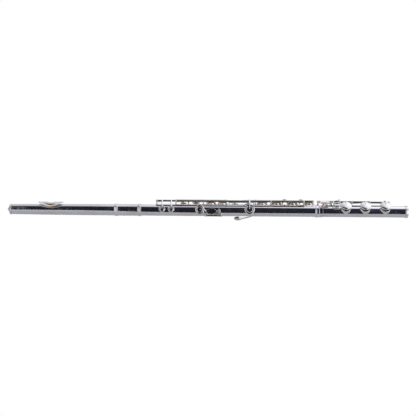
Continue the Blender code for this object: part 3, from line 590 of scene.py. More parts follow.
def head_radius(station):
    """The head tube's outer radius: it narrows towards the crown."""
    taper = max(0.0, (HEAD_TAPER_END - station) / HEAD_TAPER_LENGTH)
    return TUBE_RADIUS - HEAD_TAPER_DEPTH * taper ** 2


def tone_hole_cutters(holes):
    """One round cutter for each tone hole."""
    return [round_cutter(hole_frame(hole_station(name), HOLE_ANGLES[name]), hole_radius(name))
            for name in holes]


def tone_hole_rim(bm, name):
    """A tone hole drawn out of the tube, with a flared foot and a rolled rim."""
    place = hole_frame(hole_station(name), HOLE_ANGLES[name])
    radius = hole_radius(name)
    outer = radius + CHIMNEY_WALL
    flare = 0.55 * MM
    foot = [(outer + flare, 0.0), (outer + flare * 0.5, flare * 0.13),
            (outer + flare * 0.13, flare * 0.5), (outer, flare)]
    rows = [(reach, TUBE_RADIUS, lift - 0.02 * MM) for reach, lift in foot]
    roll = 0.24 * MM
    for angle in range(-60, 151, 30):
        turn = math.radians(angle)
        rows.append((outer - roll * 0.6 + roll * 1.5 * math.cos(turn), None,
                     SEAT_HEIGHT - roll + roll * math.sin(turn)))
    rows += [(radius, None, SEAT_HEIGHT - roll), (radius, BORE_RADIUS, 0.0)]
    rings = []
    for reach, base, lift in rows:
        ring = []
        for step in range(HOLE_SIDES):
            angle = math.tau * step / HOLE_SIDES
            across = reach * math.sin(angle)
            height = lift if base is None else lift + math.sqrt(base ** 2 - across ** 2)
            ring.append(bm.verts.new(place @ Vector((reach * math.cos(angle), across, height))))
        rings.append(ring)
    bridge(bm, rings)


def tone_hole_rims(name, holes, body):
    """All the drawn tone holes of one joint."""
    bm = bmesh.new()
    for hole in holes:
        tone_hole_rim(bm, hole)
    add_piece(name, bm, "tube_silver", 45.0, body, "silver")


def build_head_tube(sizes):
    """The head joint's tube, tapered towards the crown, with the mouth hole cut through."""
    low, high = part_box("head_tube")
    stations = [low.x + (high.x - low.x) * step / 40 for step in range(41)]
    wall = sizes.tube_wall
    outside = [(head_radius(x), x) for x in stations]
    inside = [(head_radius(x) - wall, x) for x in reversed(stations)]
    bm = bmesh.new()
    lathe(bm, outside + inside, line_frame(), TUBE_SIDES, closed=True)
    tube = finish_mesh("head_joint_tube", bm, material("head_silver"))
    mouth = round_cutter(Matrix.Identity(4), sizes.mouth_length / 2,
                         sizes.mouth_width / sizes.mouth_length)
    cut_away(tube, [mouth])
    place_piece(tube, "head", "silver", "head_tube")


def oval_point(share, half_length, half_width, middle_y=0.0):
    """A point of an oval round the embouchure, in plan."""
    angle = math.tau * share
    return half_length * math.cos(angle), middle_y + half_width * math.sin(angle)


def on_arc(x, y, radius, guide):
    """The point over a plan point of a cylinder of one radius, moved to another radius."""
    angle = math.asin(y / guide)
    return Vector((x, radius * math.sin(angle), radius * math.cos(angle)))


def build_lip_plate(sizes):
    """The oval lip plate, curved round the tube, with rounded edges and the mouth hole."""
    sides = 120
    top = 13.6 * MM
    middle = -1.5 * MM
    thickness = sizes.lip_thickness
    rows = [(0.0, top - thickness), (0.0, top - 0.16 * MM), (0.008, top - 0.04 * MM)]
    rows += [(0.03 + 0.94 * step / 14, top) for step in range(15)]
    rows += [(0.985, top - 0.06 * MM), (0.997, top - 0.2 * MM), (1.0, top - 0.42 * MM),
             (0.996, top - 0.66 * MM), (0.97, top - thickness * 0.88)]
    rows += [(0.9 - 0.9 * step / 8, top - thickness) for step in range(8)]
    bm = bmesh.new()
    made = []
    for share, radius in rows:
        ring = []
        for step in range(sides):
            inner = oval_point(step / sides, sizes.mouth_length / 2, sizes.mouth_width / 2)
            outer = oval_point(step / sides, sizes.lip_length / 2, sizes.lip_width / 2, middle)
            x = inner[0] + (outer[0] - inner[0]) * share
            y = inner[1] + (outer[1] - inner[1]) * share
            dip = min(max((share - 0.48) / 0.2, 0.0), 1.0)
            rise = max((share - 0.72) / 0.28, 0.0)
            toward = abs(math.sin(math.tau * step / sides))
            flare = (1.3 * rise ** 2 - 0.6 * dip ** 2 * (3 - 2 * dip)) * MM * toward
            ring.append(bm.verts.new(on_arc(x, y, radius + flare, top)))
        made.append(ring)
    made.append(made[0])
    bridge(bm, made)
    # The lip plate's near edge is tinted warm, a painted reflection, and given a duller polish
    tint_by_place(material("lip_silver"), "Y", -9.8 * MM, -10.4 * MM, finish_colour("lip_painted_reflection"),
                  0.42)
    add_piece("embouchure_plate", bm, "lip_silver", 50.0, "head", "silver", "lip_plate")
    build_riser(sizes, top - thickness * 0.7)


def build_riser(sizes, top):
    """The riser: the wall between the tube and the lip plate round the mouth hole."""
    sides = 96
    wall = 1.6 * MM
    half_length, half_width = sizes.mouth_length / 2, sizes.mouth_width / 2
    base = head_radius(0.0)
    bm = bmesh.new()
    made = []
    rows = [(wall + 0.5 * MM, base - 0.02 * MM), (wall + 0.14 * MM, base + 0.12 * MM),
            (wall, base + 0.5 * MM), (wall, top), (0.02 * MM, top), (0.02 * MM, base - 0.5 * MM)]
    for grow, radius in rows:
        ring = []
        for step in range(sides):
            x, y = oval_point(step / sides, half_length + grow, half_width + grow)
            height = math.sqrt(max(radius ** 2 - y ** 2, 0.0))
            ring.append(bm.verts.new(Vector((x, y, height))))
        made.append(ring)
    bridge(bm, made)
    add_piece("embouchure_riser", bm, "lip_silver", 40.0, "head", "silver", "riser")


def build_crown():
    """The crown: a turned cap with a small boss, a domed shoulder and a spigot."""
    profile = [(0.0, -77.0), (1.7, -76.95), (2.6, -76.5), (3.0, -75.7), (3.0, -74.7), (3.5, -74.3),
               (5.6, -74.1), (7.6, -73.7), (8.9, -72.9), (9.4, -72.0), (9.4, -70.9), (9.15, -70.6),
               (9.15, -70.3), (9.4, -70.1), (9.4, -69.9), (9.2, -69.7), (8.2, -69.7),
               (8.2, -64.9), (8.0, -64.7), (6.6, -64.7), (6.6, -68.6), (0.0, -68.6)]
    bm = bmesh.new()
    points = soften([(radius * MM, x * MM) for radius, x in profile], 0.25 * MM)
    lathe(bm, points, line_frame(), TUBE_SIDES)
    add_piece("crown_cap", bm, "ring_silver", 40.0, "crown", "silver", "crown")


def ring_profile(start, end, base, raised, slope):
    """A raised ring: a long conical face, a groove and a bead, as (radius, x) points.

    slope is 1 where the cone rises along the flute and -1 where it falls.
    """
    length = end - start
    shares = [(0.0, 0.0), (0.0, 0.22), (0.03, 0.36), (0.56, 0.93), (0.62, 0.70), (0.66, 0.70),
              (0.70, 0.92), (0.76, 1.0), (0.84, 1.0), (0.88, 0.9), (0.91, 0.68), (0.94, 0.72),
              (0.97, 0.8), (1.0, 0.55), (1.0, 0.0)]
    low = base - 0.35 * MM
    points = [(low + (raised - low) * height, start + length * share) for share, height in shares]
    if slope < 0:
        points = [(radius, start + end - x) for radius, x in reversed(points)]
    return points


def build_barrel():
    """The barrel that receives the head joint, with a raised ring at each end."""
    low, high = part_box("barrel")
    ring = 6.4 * MM
    outside = ring_profile(low.x, low.x + ring, SLEEVE_RADIUS, RING_RADIUS, 1)
    outside += ring_profile(high.x - ring, high.x, SLEEVE_RADIUS, RING_RADIUS, 1)
    profile = [(SOCKET_BORE, low.x + 0.3 * MM)] + outside + [(SOCKET_BORE, high.x - 0.3 * MM)]
    bm = bmesh.new()
    lathe(bm, profile, line_frame(), TUBE_SIDES, closed=True)
    add_piece("barrel_sleeve", bm, "ring_silver", 28.0, "body", "silver", "barrel")


def build_body_tube(sizes):
    """The body joint's tube with its drawn tone holes."""
    low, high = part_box("body_tube")
    bore = TUBE_RADIUS - sizes.tube_wall
    profile = [(TUBE_RADIUS, low.x), (TUBE_RADIUS, high.x), (bore, high.x), (bore, low.x)]
    bm = bmesh.new()
    lathe(bm, profile, line_frame(), TUBE_SIDES, closed=True)
    tube = finish_mesh("body_joint_tube", bm, material("tube_silver"))
    cut_away(tube, tone_hole_cutters(BODY_HOLES))
    place_piece(tube, "body", "silver", "body_tube")
    tone_hole_rims("body_tone_holes", BODY_HOLES, "body")


def build_foot_tube(sizes):
    """The foot joint's tube, with the socket ring at its start and a ring at its end."""
    low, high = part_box("foot_tube")
    bore = TUBE_RADIUS - sizes.tube_wall
    socket_end = 483.2 * MM
    ring = 7.5 * MM
    end_ring = 5.0 * MM
    profile = [(SOCKET_BORE, low.x + 0.2 * MM)]
    profile += ring_profile(low.x, low.x + ring, SLEEVE_RADIUS, RING_RADIUS, -1)
    profile += [(SLEEVE_RADIUS, socket_end - 0.3 * MM), (TUBE_RADIUS + 0.3 * MM, socket_end),
                (TUBE_RADIUS, socket_end + 0.1 * MM), (TUBE_RADIUS, high.x - end_ring - 0.05 * MM)]
    profile += ring_profile(high.x - end_ring, high.x, TUBE_RADIUS + 0.3 * MM, RING_RADIUS, -1)
    profile += [(bore, high.x - 0.1 * MM), (bore, 482.1 * MM), (SOCKET_BORE, 482.0 * MM)]
    bm = bmesh.new()
    lathe(bm, profile, line_frame(), TUBE_SIDES, closed=True)
    tube = finish_mesh("foot_joint_tube", bm, material("tube_silver"), 28.0)
    cut_away(tube, tone_hole_cutters(FOOT_HOLES))
    place_piece(tube, "foot", "silver", "foot_tube")
    tone_hole_rims("foot_tone_holes", FOOT_HOLES, "foot")


# ---------------------------------------------------------------- keys: cups, pads and arms

# Half the width of a cup's arm, before its widening at the hinge tube
ARM_HALF = 1.25 * MM


def cup_radius(name):
    """The outer radius of the cup over a tone hole."""
    return pad_radius(name) + CUP_RIM


def key_cup(bm, name, place):
    """A closed cup: a skirt round the pad and a rounded shoulder.

    The foot's cups are plain domes, and the others are nearly flat with a groove and a button.
    """
    radius = cup_radius(name)
    recess = 14.5 * MM
    shoulder = 2.1 * MM if name in FOOT_HOLES else 1.83 * MM
    profile = [(0.0, recess), (radius - 0.5 * MM, recess), (radius - 0.5 * MM, CUP_SKIRT),
               (radius - 0.08 * MM, CUP_SKIRT), (radius, CUP_SKIRT + 0.12 * MM),
               (radius, CUP_TOP - shoulder)]
    if name in FOOT_HOLES:
        profile += [(radius - 0.12 * MM, CUP_TOP - 1.86 * MM)]
        profile += [(radius * step / 20, CUP_TOP - 1.72 * MM * (step / 20) ** 2)
                    for step in range(19, -1, -2)]
        profile += [(0.0, CUP_TOP)]
    else:
        profile += [(radius - inward * MM, CUP_TOP - drop * MM)
                    for inward, drop in ((0.12, 0.94), (0.42, 0.61), (0.9, 0.43))]
        profile += [(radius * share, CUP_TOP - drop * MM)
                    for share, drop in ((0.82, 0.31), (0.76, 0.29), (0.70, 0.26), (0.66, 0.52),
                                        (0.60, 0.51), (0.56, 0.15), (0.36, 0.05), (0.16, 0.0),
                                        (0.0, 0.0))]
    place = place @ hole_frame(hole_station(name), HOLE_ANGLES[name])
    lathe(bm, soften(profile, 0.16 * MM, 3), place, CUP_SIDES)


def build_pad(name, body, turn):
    """A felt pad under its skin, with a card edge and a washer in its middle."""
    place = turn @ hole_frame(hole_station(name), HOLE_ANGLES[name])
    radius = pad_radius(name)
    low = SEAT_HEIGHT + PAD_GAP
    high = low + PAD_THICKNESS
    skin = [(0.0, low + 0.1 * MM), (radius * 0.35, low + 0.1 * MM), (radius * 0.55, low),
            (radius - 0.5 * MM, low), (radius - 0.14 * MM, low + 0.12 * MM),
            (radius, low + 0.42 * MM), (radius, high - 0.5 * MM), (radius - 0.3 * MM, high - 0.4 * MM),
            (0.0, high - 0.4 * MM)]
    bm = bmesh.new()
    lathe(bm, skin, place, CUP_SIDES)
    add_piece(f"{name}_pad_skin", bm, "pad_skin", 50.0, body, "pad_skin", f"{name}_pad")
    card = [(radius - 0.32 * MM, high - 0.52 * MM), (radius - 0.12 * MM, high - 0.5 * MM),
            (radius - 0.12 * MM, high - 0.02 * MM), (radius - 0.32 * MM, high)]
    bm = bmesh.new()
    lathe(bm, card, place, CUP_SIDES, closed=True)
    add_piece(f"{name}_pad_card", bm, "pad_felt", 40.0, body, "pad_skin")
    washer = [(0.0, low - 0.08 * MM), (0.7 * MM, low - 0.08 * MM), (0.75 * MM, low + 0.02 * MM),
              (1.9 * MM, low + 0.02 * MM), (2.2 * MM, low + 0.12 * MM), (0.0, low + 0.2 * MM)]
    bm = bmesh.new()
    lathe(bm, washer, place, 40)
    add_piece(f"{name}_pad_washer", bm, "steel", 40.0, body, "steel")


def cup_arm(bm, name, line, start_x, place, via=()):
    """A pointed arm from a hinge line over the middle of a cup.

    via holds (y, z) points that it passes on its way from the hinge to the cup's edge.
    """
    local = hole_frame(hole_station(name), HOLE_ANGLES[name])
    middle = hole_station(name)
    inverse = local.inverted()
    start = inverse @ Vector((start_x, line[0], line[1]))
    side = 1.0 if start.y > 0 else -1.0
    points = [local @ start]
    points += [Vector((start_x + (middle - start_x) * (index + 1) / (len(via) + 1), y, z))
               for index, (y, z) in enumerate(via)]
    edge = side * (cup_radius(name) + 0.3 * MM)
    points.append(local @ Vector((0.0, edge, 15.9 * MM)))
    points.append(local @ Vector((0.0, edge * 0.55, 16.45 * MM)))
    points.append(local @ Vector((0.0, side * 0.6 * MM, 16.35 * MM)))
    sweep(bm, [place @ point for point in points], (ARM_HALF * 1.25, 0.7 * MM),
          (0.62 * MM, 0.45 * MM), 16, 1.25)


def oval_touch(bm, station, angle, height, half_length, half_width, thickness, place, dish=0.0,
               tilt=0.0):
    """An oval touch at an angle round the tube, tilted about its own middle from facing outward."""
    shape = place @ hole_frame(station, angle) @ Matrix.Translation((0.0, 0.0, height))
    shape = shape @ Matrix.Rotation(math.radians(tilt), 4, "X")
    oval_disc(bm, shape, half_length, half_width, thickness, dish)


def path_x(station, spots):
    """(y, z) spots in millimetres as points at one station of the flute."""
    return [Vector((station, y * MM, z * MM)) for y, z in spots]


def finish_key(bm, name, body, *nodes):
    """Close a key's mesh and let it ride on its body in place of its CAD nodes."""
    add_piece(name, bm, "key_silver", 38.0, body, "silver", *nodes)


# Body keys on the main line: the hinge tube's start and end and the arm's start, in millimetres
STACK_KEYS = {
    "c_sharp": (224.0, 269.6, 235.6), "b_flat": (272.8, 296.6, 285.5), "a": (296.9, 310.9, 306.0),
    "f_sharp": (369.0, 389.6, 376.4), "f": (392.8, 416.2, 402.0), "e": (416.5, 445.4, 430.5),
    "d": (445.7, 465.0, 460.4),
}

# Stations of the tails under the hinge tubes in millimetres, each with a cork over the rib
TAILS = {"c_sharp": (244.5,), "b_flat": (278.0,), "a": (300.5,), "f_sharp": (383.5,),
         "f": (412.0,), "e": (420.5, 442.0), "d": (449.5,)}

# The C sharp touch's place along the flute, in millimetres
C_SHARP_TOUCH = 258.0


def key_tail(bm, body, station, line):
    """A short tail under a hinge tube with its cork, which stops the key as it opens."""
    y, z = line[0] / MM, line[1] / MM
    tail = path_x(station, [(y - 0.6, z - 1.2), (y - 1.3, z - 2.8), (y - 1.6, z - 4.0)])
    sweep(bm, tail, (1.5 * MM, 1.3 * MM), (0.5 * MM, 0.45 * MM), 14)
    cork = bmesh.new()
    place = Matrix.Translation((station, (y - 1.7) * MM, (z - 5.2) * MM))
    oval_disc(cork, place, 1.5 * MM, 1.0 * MM, 1.5 * MM, 0.0, 32)
    add_piece(f"{body}_tail_cork", cork, "key_cork", 40.0, body, "cork")


def build_stack():
    """The right and left hand stacks: cups on the far side, hung on the main hinge line."""
    for key, (start, end, arm_x) in STACK_KEYS.items():
        turn = rest_turn(key)
        line = joint_line(key)
        bm = bmesh.new()
        hinge_tube(key, start * MM, end * MM, line)
        key_cup(bm, key, turn)
        cup_arm(bm, key, line, arm_x * MM, turn)
        if key == "c_sharp":
            oval_touch(bm, C_SHARP_TOUCH * MM, FAR_ANGLE, 15.9 * MM, 7.0 * MM, 4.6 * MM, 1.2 * MM,
                       turn, 0.35 * MM)
            reach = path_x(C_SHARP_TOUCH * MM, [(0.0, 17.6), (2.4, 17.2), (6.4, 14.6), (9.4, 12.6)])
            sweep(bm, [turn @ point for point in reach], (1.25 * MM, 0.9 * MM), 0.8 * MM)
        for station in TAILS[key]:
            key_tail(bm, key, station * MM, line)
        finish_key(bm, f"{key}_key_body", key, f"{key}_key")
        build_pad(key, key, turn)
    turn = rest_turn("g")
    line = joint_line("g")
    bm = bmesh.new()
    hinge_tube("g", 318.9 * MM, 359.8 * MM, line)
    for cup in ("g_upper", "g_lower"):
        key_cup(bm, cup, turn)
        cup_arm(bm, cup, line, hole_station(cup), turn)
    finish_key(bm, "g_key_body", "g", "g_key")
    build_pad("g_upper", "g", turn)
    build_pad("g_lower", "g", turn)


def build_g_sharp():
    """The G sharp key: a near cup, a lever round the far side and a touch for the little finger."""
    turn = rest_turn("g_sharp")
    line = joint_line("g_sharp")
    bm = bmesh.new()
    hinge_tube("g_sharp", 342.0 * MM, 365.8 * MM, line)
    key_cup(bm, "g_sharp", turn)
    cup_arm(bm, "g_sharp", line, 353.0 * MM, turn, [(-5.0 * MM, 19.9 * MM)])
    lever = path_x(364.55 * MM, [(0.0, 17.6), (5.5, 19.2), (12.4, 15.5), (17.2, 8.0), (18.2, 0.0)])
    lever += path_x(362.95 * MM, [(17.2, -7.5)])
    lever += path_x(350.0 * MM, [(15.6, -12.4)]) + path_x(338.0 * MM, [(14.4, -14.2)])
    sweep(bm, lever, (1.15 * MM, 1.0 * MM), (0.95 * MM, 0.75 * MM), 16)
    oval_touch(bm, 333.5 * MM, -135.0, 20.05 * MM, 7.6 * MM, 4.6 * MM, 1.1 * MM, turn, 0.3 * MM)
    finish_key(bm, "g_sharp_key_body", "g_sharp", "g_sharp_key")
    build_pad("g_sharp", "g_sharp", turn)


def build_trills():
    """The two trill keys on their shared rod, each with a small cup and a touch."""
    line = joint_line("d_trill")
    spans = {"d_trill": [(207.0, 425.0)], "d_sharp_trill": [(190.1, 206.7), (425.3, 448.0)]}
    touches = {"d_trill": (416.2, 3.9), "d_sharp_trill": (445.5, 4.1)}
    for key, sleeves in spans.items():
        turn = rest_turn(key)
        bm = bmesh.new()
        for start, end in sleeves:
            hinge_tube(key, start * MM, end * MM, line)
        if key == "d_sharp_trill":
            hinge_tube(key, 187.2 * MM, 450.9 * MM, line, STEEL_RADIUS, CORE_BORE)
        key_cup(bm, key, turn)
        cup_arm(bm, key, line, hole_station(key), turn, [(-8.6 * MM, 18.2 * MM)])
        station, half = touches[key]
        shape = hole_frame(station * MM, -24.8)
        touch = shape @ Matrix.Translation((0.0, 0.0, 21.2 * MM))
        oval_disc(bm, touch, half * MM, 4.0 * MM, 1.0 * MM, 0.2 * MM)
        arm = path_x(station * MM, [(line[0] / MM, line[1] / MM), (line[0] / MM + 0.8, 20.5),
                                    (3.2, 20.7), (8.2, 19.3)])
        sweep(bm, arm, (0.95 * MM, 0.8 * MM), (0.62 * MM, 0.5 * MM), 14)
        finish_key(bm, f"{key}_key_body", key, f"{key}_key")
        build_pad(key, key, turn)


# How far the thumb's touches lean from facing outward, in degrees
THUMB_TILT = -17.0


def build_thumb_keys():
    """The thumb keys: the B key with its dished touch, and the B flat lever beside it."""
    turn = rest_turn("thumb_b")
    line = joint_line("thumb_b")
    bm = bmesh.new()
    hinge_tube("thumb_b", 276.2 * MM, 296.4 * MM, line)
    key_cup(bm, "thumb_b", turn)
    y, z = line[0] / MM, line[1] / MM
    cup = hole_frame(265.0 * MM, NEAR_ANGLE)
    arm = [Vector((277.8 * MM, line[0], line[1])), Vector((277.8 * MM, (y - 1.8) * MM, (z + 3.8) * MM)),
           cup @ Vector((8.6 * MM, -0.4 * MM, 15.9 * MM)), cup @ Vector((3.8 * MM, 0.0, 16.3 * MM)),
           cup @ Vector((0.4 * MM, 0.0, 16.3 * MM))]
    sweep(bm, [turn @ point for point in arm], (1.0 * MM, 0.62 * MM), (1.2 * MM, 0.7 * MM), 16)
    oval_touch(bm, 285.1 * MM, 90.0, 14.8 * MM, 10.4 * MM, 5.0 * MM, 1.4 * MM, turn, 0.35 * MM,
               THUMB_TILT)
    for station in (281.0, 289.5):
        bar = path_x(station * MM, [(y, z), (y - 1.9, z + 3.2), (-14.5, -1.8)])
        sweep(bm, [turn @ point for point in bar], (1.1 * MM, 0.9 * MM), (0.7 * MM, 0.5 * MM))
    finish_key(bm, "thumb_b_key_body", "thumb_b", "thumb_b_key")
    build_pad("thumb_b", "thumb_b", turn)
    turn = rest_turn("thumb_b_flat")
    bm = bmesh.new()
    hinge_tube("thumb_b_flat", 296.7 * MM, 301.2 * MM, line)
    oval_touch(bm, 298.95 * MM, 92.0, 14.8 * MM, 2.2 * MM, 5.6 * MM, 1.6 * MM, turn, -0.3 * MM,
               THUMB_TILT)
    bar = path_x(298.95 * MM, [(y, z), (y - 1.9, z + 3.2), (-14.5, -2.2)])
    sweep(bm, [turn @ point for point in bar], (1.1 * MM, 0.9 * MM), (0.7 * MM, 0.5 * MM))
    finish_key(bm, "thumb_b_flat_lever_body", "thumb_b_flat", "thumb_b_flat_lever")


# Foot keys: the start and end of each hinge tube, in millimetres
FOOT_SLEEVES = {
    "foot_d_sharp": [(476.5, 497.6)], "foot_c_sharp": [(503.5, 533.6)],
    "foot_c": [(500.8, 503.2), (536.8, 566.0)], "foot_b": [(505.8, 600.8)],
}

# The (y, z) of the pins that the rollers turn on, in millimetres
ROLLER_PINS = {"foot_c": (-10.1, 13.1), "foot_b": (-13.4, 7.0)}


def build_foot_keys():
    """The four keys of the foot joint and their touches."""
    for key, sleeves in FOOT_SLEEVES.items():
        turn = rest_turn(key)
        line = joint_line(key)
        bm = bmesh.new()
        for start, end in sleeves:
            hinge_tube(key, start * MM, end * MM, line)
        key_cup(bm, key, turn)
        cup_arm(bm, key, line, hole_station(key), turn,
                [(-0.6 * MM, 18.6 * MM)] if key == "foot_b" else ())
        parts = []
        if key == "foot_d_sharp":
            oval_touch(bm, 486.6 * MM, 24.3, 18.2 * MM, 9.8 * MM, 3.2 * MM, 1.2 * MM, turn,
                       0.3 * MM)
            for station in (482.6, 491.6):
                parts.append((station, [(0.0, 17.0), (-3.0, 17.6), (-6.4, 16.7)], 1.1, 0.6))
        if key == "foot_c_sharp":
            oval_touch(bm, 507.8 * MM, 19.3, 17.4 * MM, 3.9 * MM, 2.5 * MM, 1.0 * MM, turn, 0.0, 52.0)
            parts.append((507.8, [(0.0, 17.0), (-2.4, 17.2), (-5.2, 16.4)], 1.2, 0.6))
        if key == "foot_c":
            hinge_tube(key, 499.4 * MM, 568.9 * MM, line, STEEL_RADIUS, CORE_BORE)
            parts.append((502.0, [(0.0, 17.0), (-5.6, 16.9), ROLLER_PINS[key]], 0.95, 0.75))
        if key == "foot_b":
            spots = [(line[0] / MM, line[1] / MM), (3.8, 19.6), (-3.2, 20.0), (-9.8, 16.3),
                     ROLLER_PINS[key]]
            parts.append((512.75, spots, 0.95, 0.75))
        for station, spots, width, height in parts:
            bar = [turn @ point for point in path_x(station * MM, spots)]
            sweep(bm, bar, width * MM, height * MM)
        if key in ROLLER_PINS:
            y, z = ROLLER_PINS[key]
            pin = turn @ line_frame((y * MM, z * MM))
            profile = soften([(0.0, 513.0 * MM), (0.62 * MM, 513.0 * MM), (0.62 * MM, 501.7 * MM),
                              (0.0, 501.7 * MM)], 0.15 * MM)
            lathe(bm, profile, pin, 24)
        finish_key(bm, f"{key}_key_body", key, f"{key}_key")
        build_pad(key, key, turn)


def build_rollers():
    """The C and B rollers: barrels with softened ends and two fine grooves."""
    for name in ("c_roller", "b_roller"):
        low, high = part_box(name)
        line = ((low.y + high.y) / 2, (low.z + high.z) / 2)
        radius = 2.1 * MM
        groove = radius - 0.16 * MM
        outside = [(radius - 0.16 * MM, low.x)]
        for station in (low.x + 1.3 * MM, high.x - 1.3 * MM):
            outside += [(radius, station - 0.2 * MM), (groove, station - 0.08 * MM),
                        (groove, station + 0.08 * MM), (radius, station + 0.2 * MM)]
        outside.append((radius - 0.16 * MM, high.x))
        profile = soften([(0.8 * MM, low.x)] + outside + [(0.8 * MM, high.x)], 0.12 * MM, 3,
                         closed=True)
        bm = bmesh.new()
        lathe(bm, profile, line_frame(line), 48, closed=True)
        add_piece(f"{name}_barrel", bm, "key_silver", 40.0, name, "silver", name)


# ---------------------------------------------------------------- ribs, posts, rods and springs

# Stations of the posts along the flute, in millimetres
MAIN_POSTS = (222.4, 271.2, 312.5, 367.4, 391.2, 466.6)
TRILL_END_POSTS = (188.5, 449.6)
TRILL_SADDLES = (222.4, 391.2)
G_POSTS = (317.3, 361.4)
THUMB_POSTS = (274.6, 302.8)
FOOT_POSTS = (499.2, 535.2, 567.6)
SOCKET_POST = 474.9
FOOT_B_POSTS = (504.2, 602.4)
FOOT_B_SADDLE = 567.6

# The ribs' inner and outer radii and least width, and where a rib's near edge begins to slope
RIB_INNER = 10.2 * MM
RIB_OUTER = 11.3 * MM
BEVEL_START_X = 262.0 * MM
NARROWEST_RIB = 1.6 * MM

# A saddle, the post that a rod passes through: its bore, head and width
SADDLE = (1.95 * MM, 2.7 * MM, 2.0 * MM)


def post(bm, station, line, seat=RIB_OUTER, bore=1.25 * MM, head=2.3 * MM, width=2.6 * MM):
    """A turned post: a flared foot on its rib, a waisted stem and a bored ball head."""
    y, z = line
    distance = math.hypot(y, z)
    place = hole_frame(station, math.degrees(math.atan2(-y, z)))
    low = seat - 0.1 * MM
    top = distance - bore - 0.2 * MM
    profile = [(0.0, low), (2.0 * MM, low), (2.0 * MM, low + 0.25 * MM),
               (1.45 * MM, low + 0.7 * MM), (1.15 * MM, low + 1.3 * MM), (1.1 * MM, top - 0.9 * MM),
               (1.3 * MM, top - 0.3 * MM), (0.9 * MM, top), (0.0, top)]
    lathe(bm, soften(profile, 0.3 * MM), place, 32)
    half = width / 2
    ball = [(bore, station - half + 0.1 * MM), (head * 0.72, station - half),
            (head * 0.92, station - half * 0.72), (head, station - half * 0.3),
            (head, station + half * 0.3), (head * 0.92, station + half * 0.72),
            (head * 0.72, station + half), (bore, station + half - 0.1 * MM)]
    lathe(bm, soften(ball, 0.2 * MM, 3, closed=True), line_frame(line), 36, closed=True)


def post_row(bm, stations, line, *shape):
    """Posts along one hinge line. shape gives their seat, bore, head and width if not plain."""
    for station in stations:
        post(bm, station * MM, line, *shape)


def pivot_screw(bm, station, line, outward):
    """A pivot screw's head, with a fine groove, on the outer side of a post."""
    half = 1.3 * MM
    start = station + outward * half
    place = line_frame(line)
    head = [(0.0, start + outward * 0.42 * MM), (0.3 * MM, start + outward * 0.42 * MM),
            (0.34 * MM, start + outward * 0.3 * MM), (0.5 * MM, start + outward * 0.42 * MM),
            (1.0 * MM, start + outward * 0.38 * MM), (1.2 * MM, start + outward * 0.2 * MM),
            (1.2 * MM, start - outward * 0.3 * MM), (0.0, start - outward * 0.3 * MM)]
    lathe(bm, head, place, 28)


def rib_profile(bm, start, end, low_y, high_y, angle=0.0, bulges=(), inner=RIB_INNER,
                outer=RIB_OUTER):
    """A strip bent round the tube, from low_y to high_y across it, with softened edges.

    bulges holds the hole names it is to stay clear of: its edge curves in round each of them.
    """
    rows = int((end - start) / (0.7 * MM))
    turn = Matrix.Rotation(math.radians(angle), 4, "X")
    made = []
    for row in range(rows + 1):
        station = start + (end - start) * row / rows
        low, high = low_y, high_y
        for name in bulges:
            reach = hole_radius(name) + CHIMNEY_WALL + 0.75 * MM
            away = abs(station - hole_station(name))
            if away >= reach:
                continue
            side = math.radians(HOLE_ANGLES[name])
            half = math.sqrt(reach ** 2 - away ** 2)
            swing = math.asin(min(0.999, half / outer))
            if side > 0:
                low = max(low, -outer * math.sin(side - swing))
            else:
                high = min(high, -outer * math.sin(side + swing))
        if high - low < NARROWEST_RIB:
            half = NARROWEST_RIB / 2
            middle = min(max((low + high) / 2, low_y + half), high_y - half)
            low, high = middle - half, middle + half
        end_fade = min(1.0, 0.35 + min(row, rows - row) / 3)
        middle = (low + high) / 2
        low, high = middle + (low - middle) * end_fade, middle + (high - middle) * end_fade
        soft = 0.22 * MM
        slope = 0.3 if station < BEVEL_START_X else min(1.0, (high - low) / (4.8 * MM))
        bevel = 0.68 * MM if slope > 0.3 else 0.0
        section = [(low, inner), (low, outer - soft - bevel), (low + 2.4 * MM * slope, outer)]
        section += [(low + (high - low) * share, outer) for share in (0.6, 0.75)]
        section += [(high - soft, outer), (high, outer - soft), (high, inner),
                    ((low + high) / 2, inner)]
        ring = []
        for y, radius in section:
            height = math.sqrt(radius ** 2 - y ** 2)
            ring.append(bm.verts.new(turn @ Vector((station, y, height))))
        made.append(ring)
    bridge(bm, made)
    bm.faces.new(made[0])
    bm.faces.new(made[-1])


